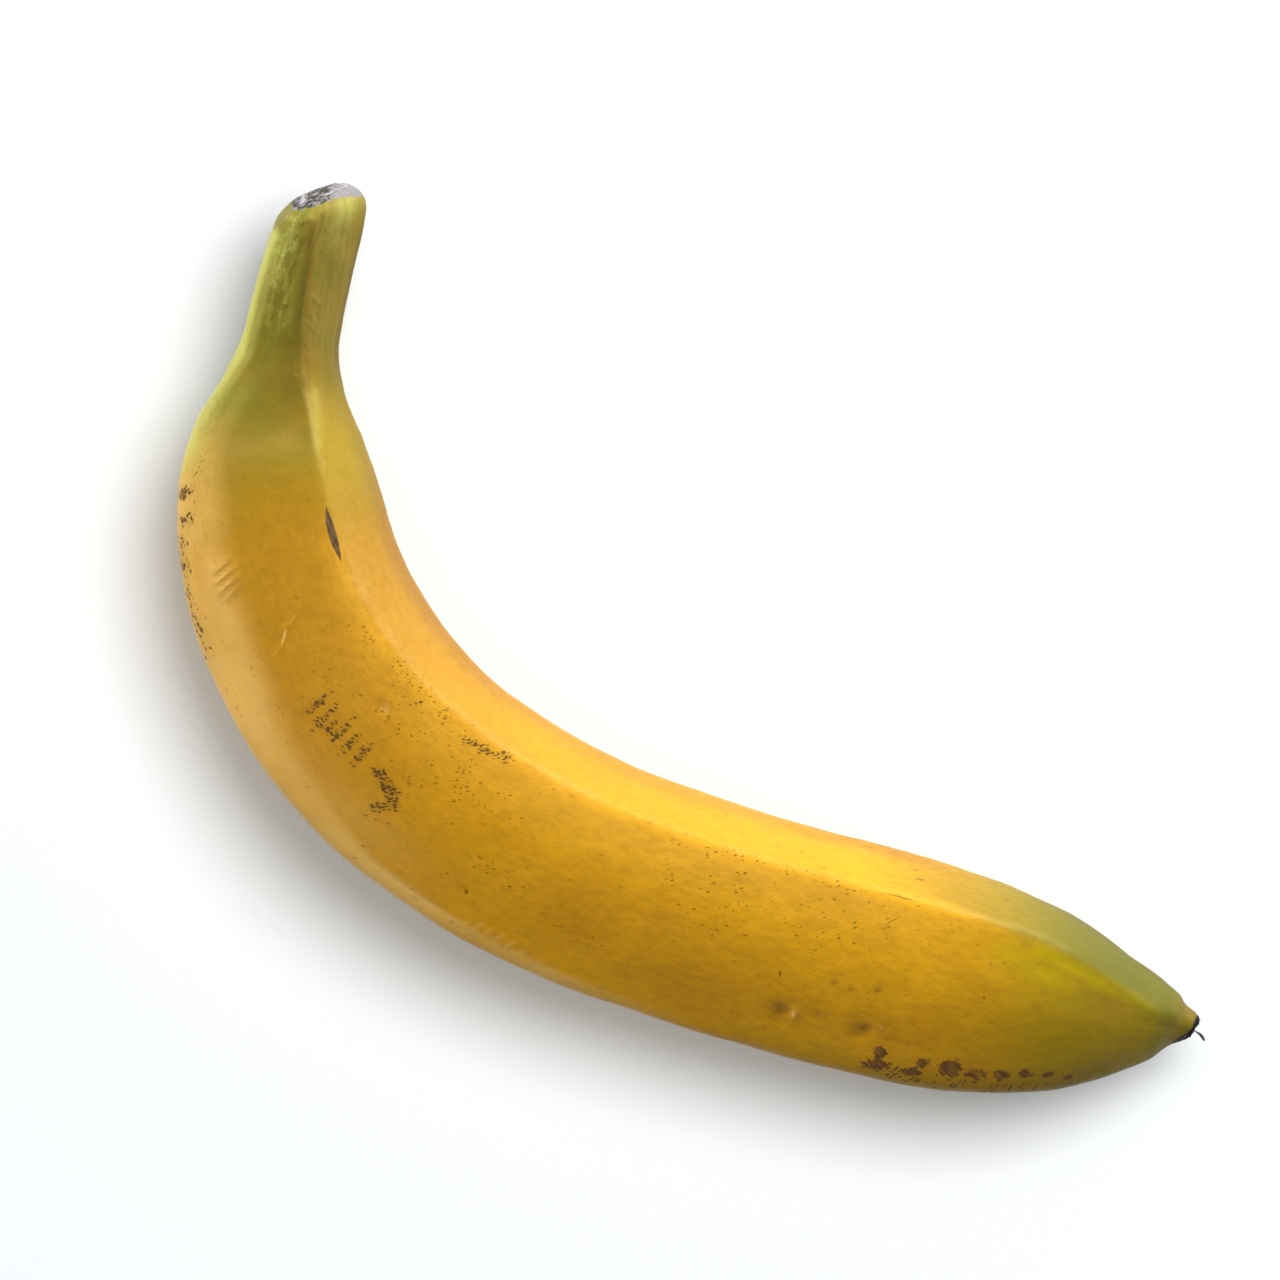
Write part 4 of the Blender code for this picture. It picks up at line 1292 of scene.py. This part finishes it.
def dry_finish(material, tints, lump, fibre, worn, on_cut=False):
    """Tints from dark to pale, sizes in millimetres, and how much paler worn places are."""
    tree = empty_finish(material)
    place = scaled(tree, node(tree, "ShaderNodeTexCoord").outputs["Object"], 1 / MM)
    lumps = grain(tree, place, 1 / lump, 3.0, 0.6)
    fibres = grain(tree, place, 1 / fibre, 4.0, 0.7)
    shade = maths(tree, "MULTIPLY_ADD", fibres, 0.45, maths(tree, "MULTIPLY", lumps, 0.55))
    stops = [(0.34 + 0.32 * k / (len(tints) - 1), tint) for k, tint in enumerate(tints)]
    colour = ramp(tree, shade, stops)
    if on_cut:
        colour = upper_cut(tree, place, lumps, colour)
    high = node(tree, "ShaderNodeNewGeometry").outputs["Pointiness"]
    colour = mixed(tree, tuned(tree, high, 0.5, 0.56, 0.0, worn), colour, tints[-1])
    bump = node(tree, "ShaderNodeBump", {"Strength": 0.6, "Distance": 0.2 * MM, "Height": fibres})
    shader = node(tree, "ShaderNodeBsdfPrincipled", {
        "Base Color": colour, "Roughness": maths(tree, "MULTIPLY_ADD", fibres, 0.2, 0.7),
        "Normal": bump.outputs[0], "Specular IOR Level": 0.2})
    node(tree, "ShaderNodeOutputMaterial", {"Surface": shader.outputs[0]})
    print(material.name + ":", len(tree.nodes), "nodes")


dry_finish(cut_finish, CUT_TINTS, 1.6, 0.35, 0.05, on_cut=True)
dry_finish(fibre_finish, FIBRE_TINTS, 0.8, 0.2, 0.1)
dry_finish(crust_finish, CRUST_TINTS, 1.0, 0.25, 0.2)
dry_finish(thread_finish, THREAD_TINTS, 0.9, 0.2, 0.2)
for piece in (cut_face, fibre_ends, crust, bristles, thread):
    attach(piece, "root")
    fruit_pieces.append(piece)

# %% [markdown]
# ## Table and light
#
# The fruit lies on a plain white table. Large soft lights work together. One from high up,
# beyond the hollow side, gives the wide soft shadow. A second, slightly blue one in the same
# place reaches the table alone: it deepens the shadow, and takes away the yellow that the
# fruit throws on white paper. One low from the hollow side makes the inner facet and the
# upper ridge bright, and leaves the outer side in half shade. Two weaker ones stand for white
# walls, behind the stalk and in front. A photographer flags low lights off the table, so that
# they add no second shadow. Here light linking does that, with one collection for the fruit
# and one for the table. Only the low window may be mirrored in the wax of the peel.

# %% Table
TABLE_REACH = 3.0
TABLE_GAP = 0.02 * MM  # under the fruit, so that no two faces coincide

floor_mesh = bpy.data.meshes.new("table_top")
corners = [(-TABLE_REACH, -TABLE_REACH, 0), (TABLE_REACH, -TABLE_REACH, 0),
           (TABLE_REACH, TABLE_REACH, 0), (-TABLE_REACH, TABLE_REACH, 0)]
floor_mesh.from_pydata(corners, [], [(0, 1, 2, 3)])
table_top = bpy.data.objects.new("table_top", floor_mesh)
table_top.location = (0, 0, -TABLE_GAP)
scene.collection.objects.link(table_top)
paper = bpy.data.materials.new("white_table")
paper.use_nodes = True
paper_inputs = paper.node_tree.nodes["Principled BSDF"].inputs
paper_inputs["Base Color"].default_value = (0.93, 0.935, 0.94, 1)
paper_inputs["Roughness"].default_value = 0.9
# The table also glows faintly, a painted light: it lifts the table's shadow, lights the fruit from below, and
# its cool tint takes yellow out of the shadow
paper_inputs["Emission Color"].default_value = (0.88, 0.98, 1, 1)
paper_inputs["Emission Strength"].default_value = 0.175
floor_mesh.materials.append(paper)
print("table:", 2 * TABLE_REACH, "m wide")

# %% Lights and world
fruit = bpy.data.collections.new("fruit")
for piece in fruit_pieces:
    fruit.objects.link(piece)
table = bpy.data.collections.new("table")
table.objects.link(table_top)


def soft_light(name, tilt, turn_from_x, distance, size, watts, only_on=None, mirrored=False, tint=(1, 1, 1)):
    """A round lamp that looks at the fruit from a tilt off the upright."""
    data = bpy.data.lights.new(name, "AREA")
    data.shape = "DISK"
    data.size = size
    data.energy = watts
    data.color = tint
    tilt, turn_from_x = math.radians(tilt), math.radians(turn_from_x)
    level = math.sin(tilt)
    toward = Vector((level * math.cos(turn_from_x), level * math.sin(turn_from_x), math.cos(tilt)))
    lamp = bpy.data.objects.new(name, data)
    lamp.location = toward * distance
    lamp.rotation_euler = toward.to_track_quat("Z", "Y").to_euler()
    scene.collection.objects.link(lamp)
    lamp.visible_glossy = mirrored
    if only_on:
        lamp.light_linking.receiver_collection = only_on
    print(name, "at", [round(part, 2) for part in lamp.location])


soft_light("sky_window", tilt=21, turn_from_x=90, distance=1.5, size=0.83, watts=14.4)
soft_light("sky_on_table", tilt=21, turn_from_x=90, distance=1.5, size=1.2, watts=5.3, only_on=table,
           tint=(0.88, 0.92, 1.0))
soft_light("side_window", tilt=80, turn_from_x=98, distance=1.0, size=0.7, watts=21, only_on=fruit,
           mirrored=True)
soft_light("wall_behind_stalk", tilt=74, turn_from_x=180, distance=1.0, size=0.9, watts=13, only_on=fruit)
soft_light("wall_in_front", tilt=80, turn_from_x=-150, distance=1.0, size=0.9, watts=3.8, only_on=fruit)

world = bpy.data.worlds.new("white_room")
world.use_nodes = True
background = world.node_tree.nodes["Background"].inputs
background["Color"].default_value = (0.97, 0.985, 1.0, 1)
background["Strength"].default_value = 0.22
scene.world = world
scene.view_settings.view_transform = "Standard"
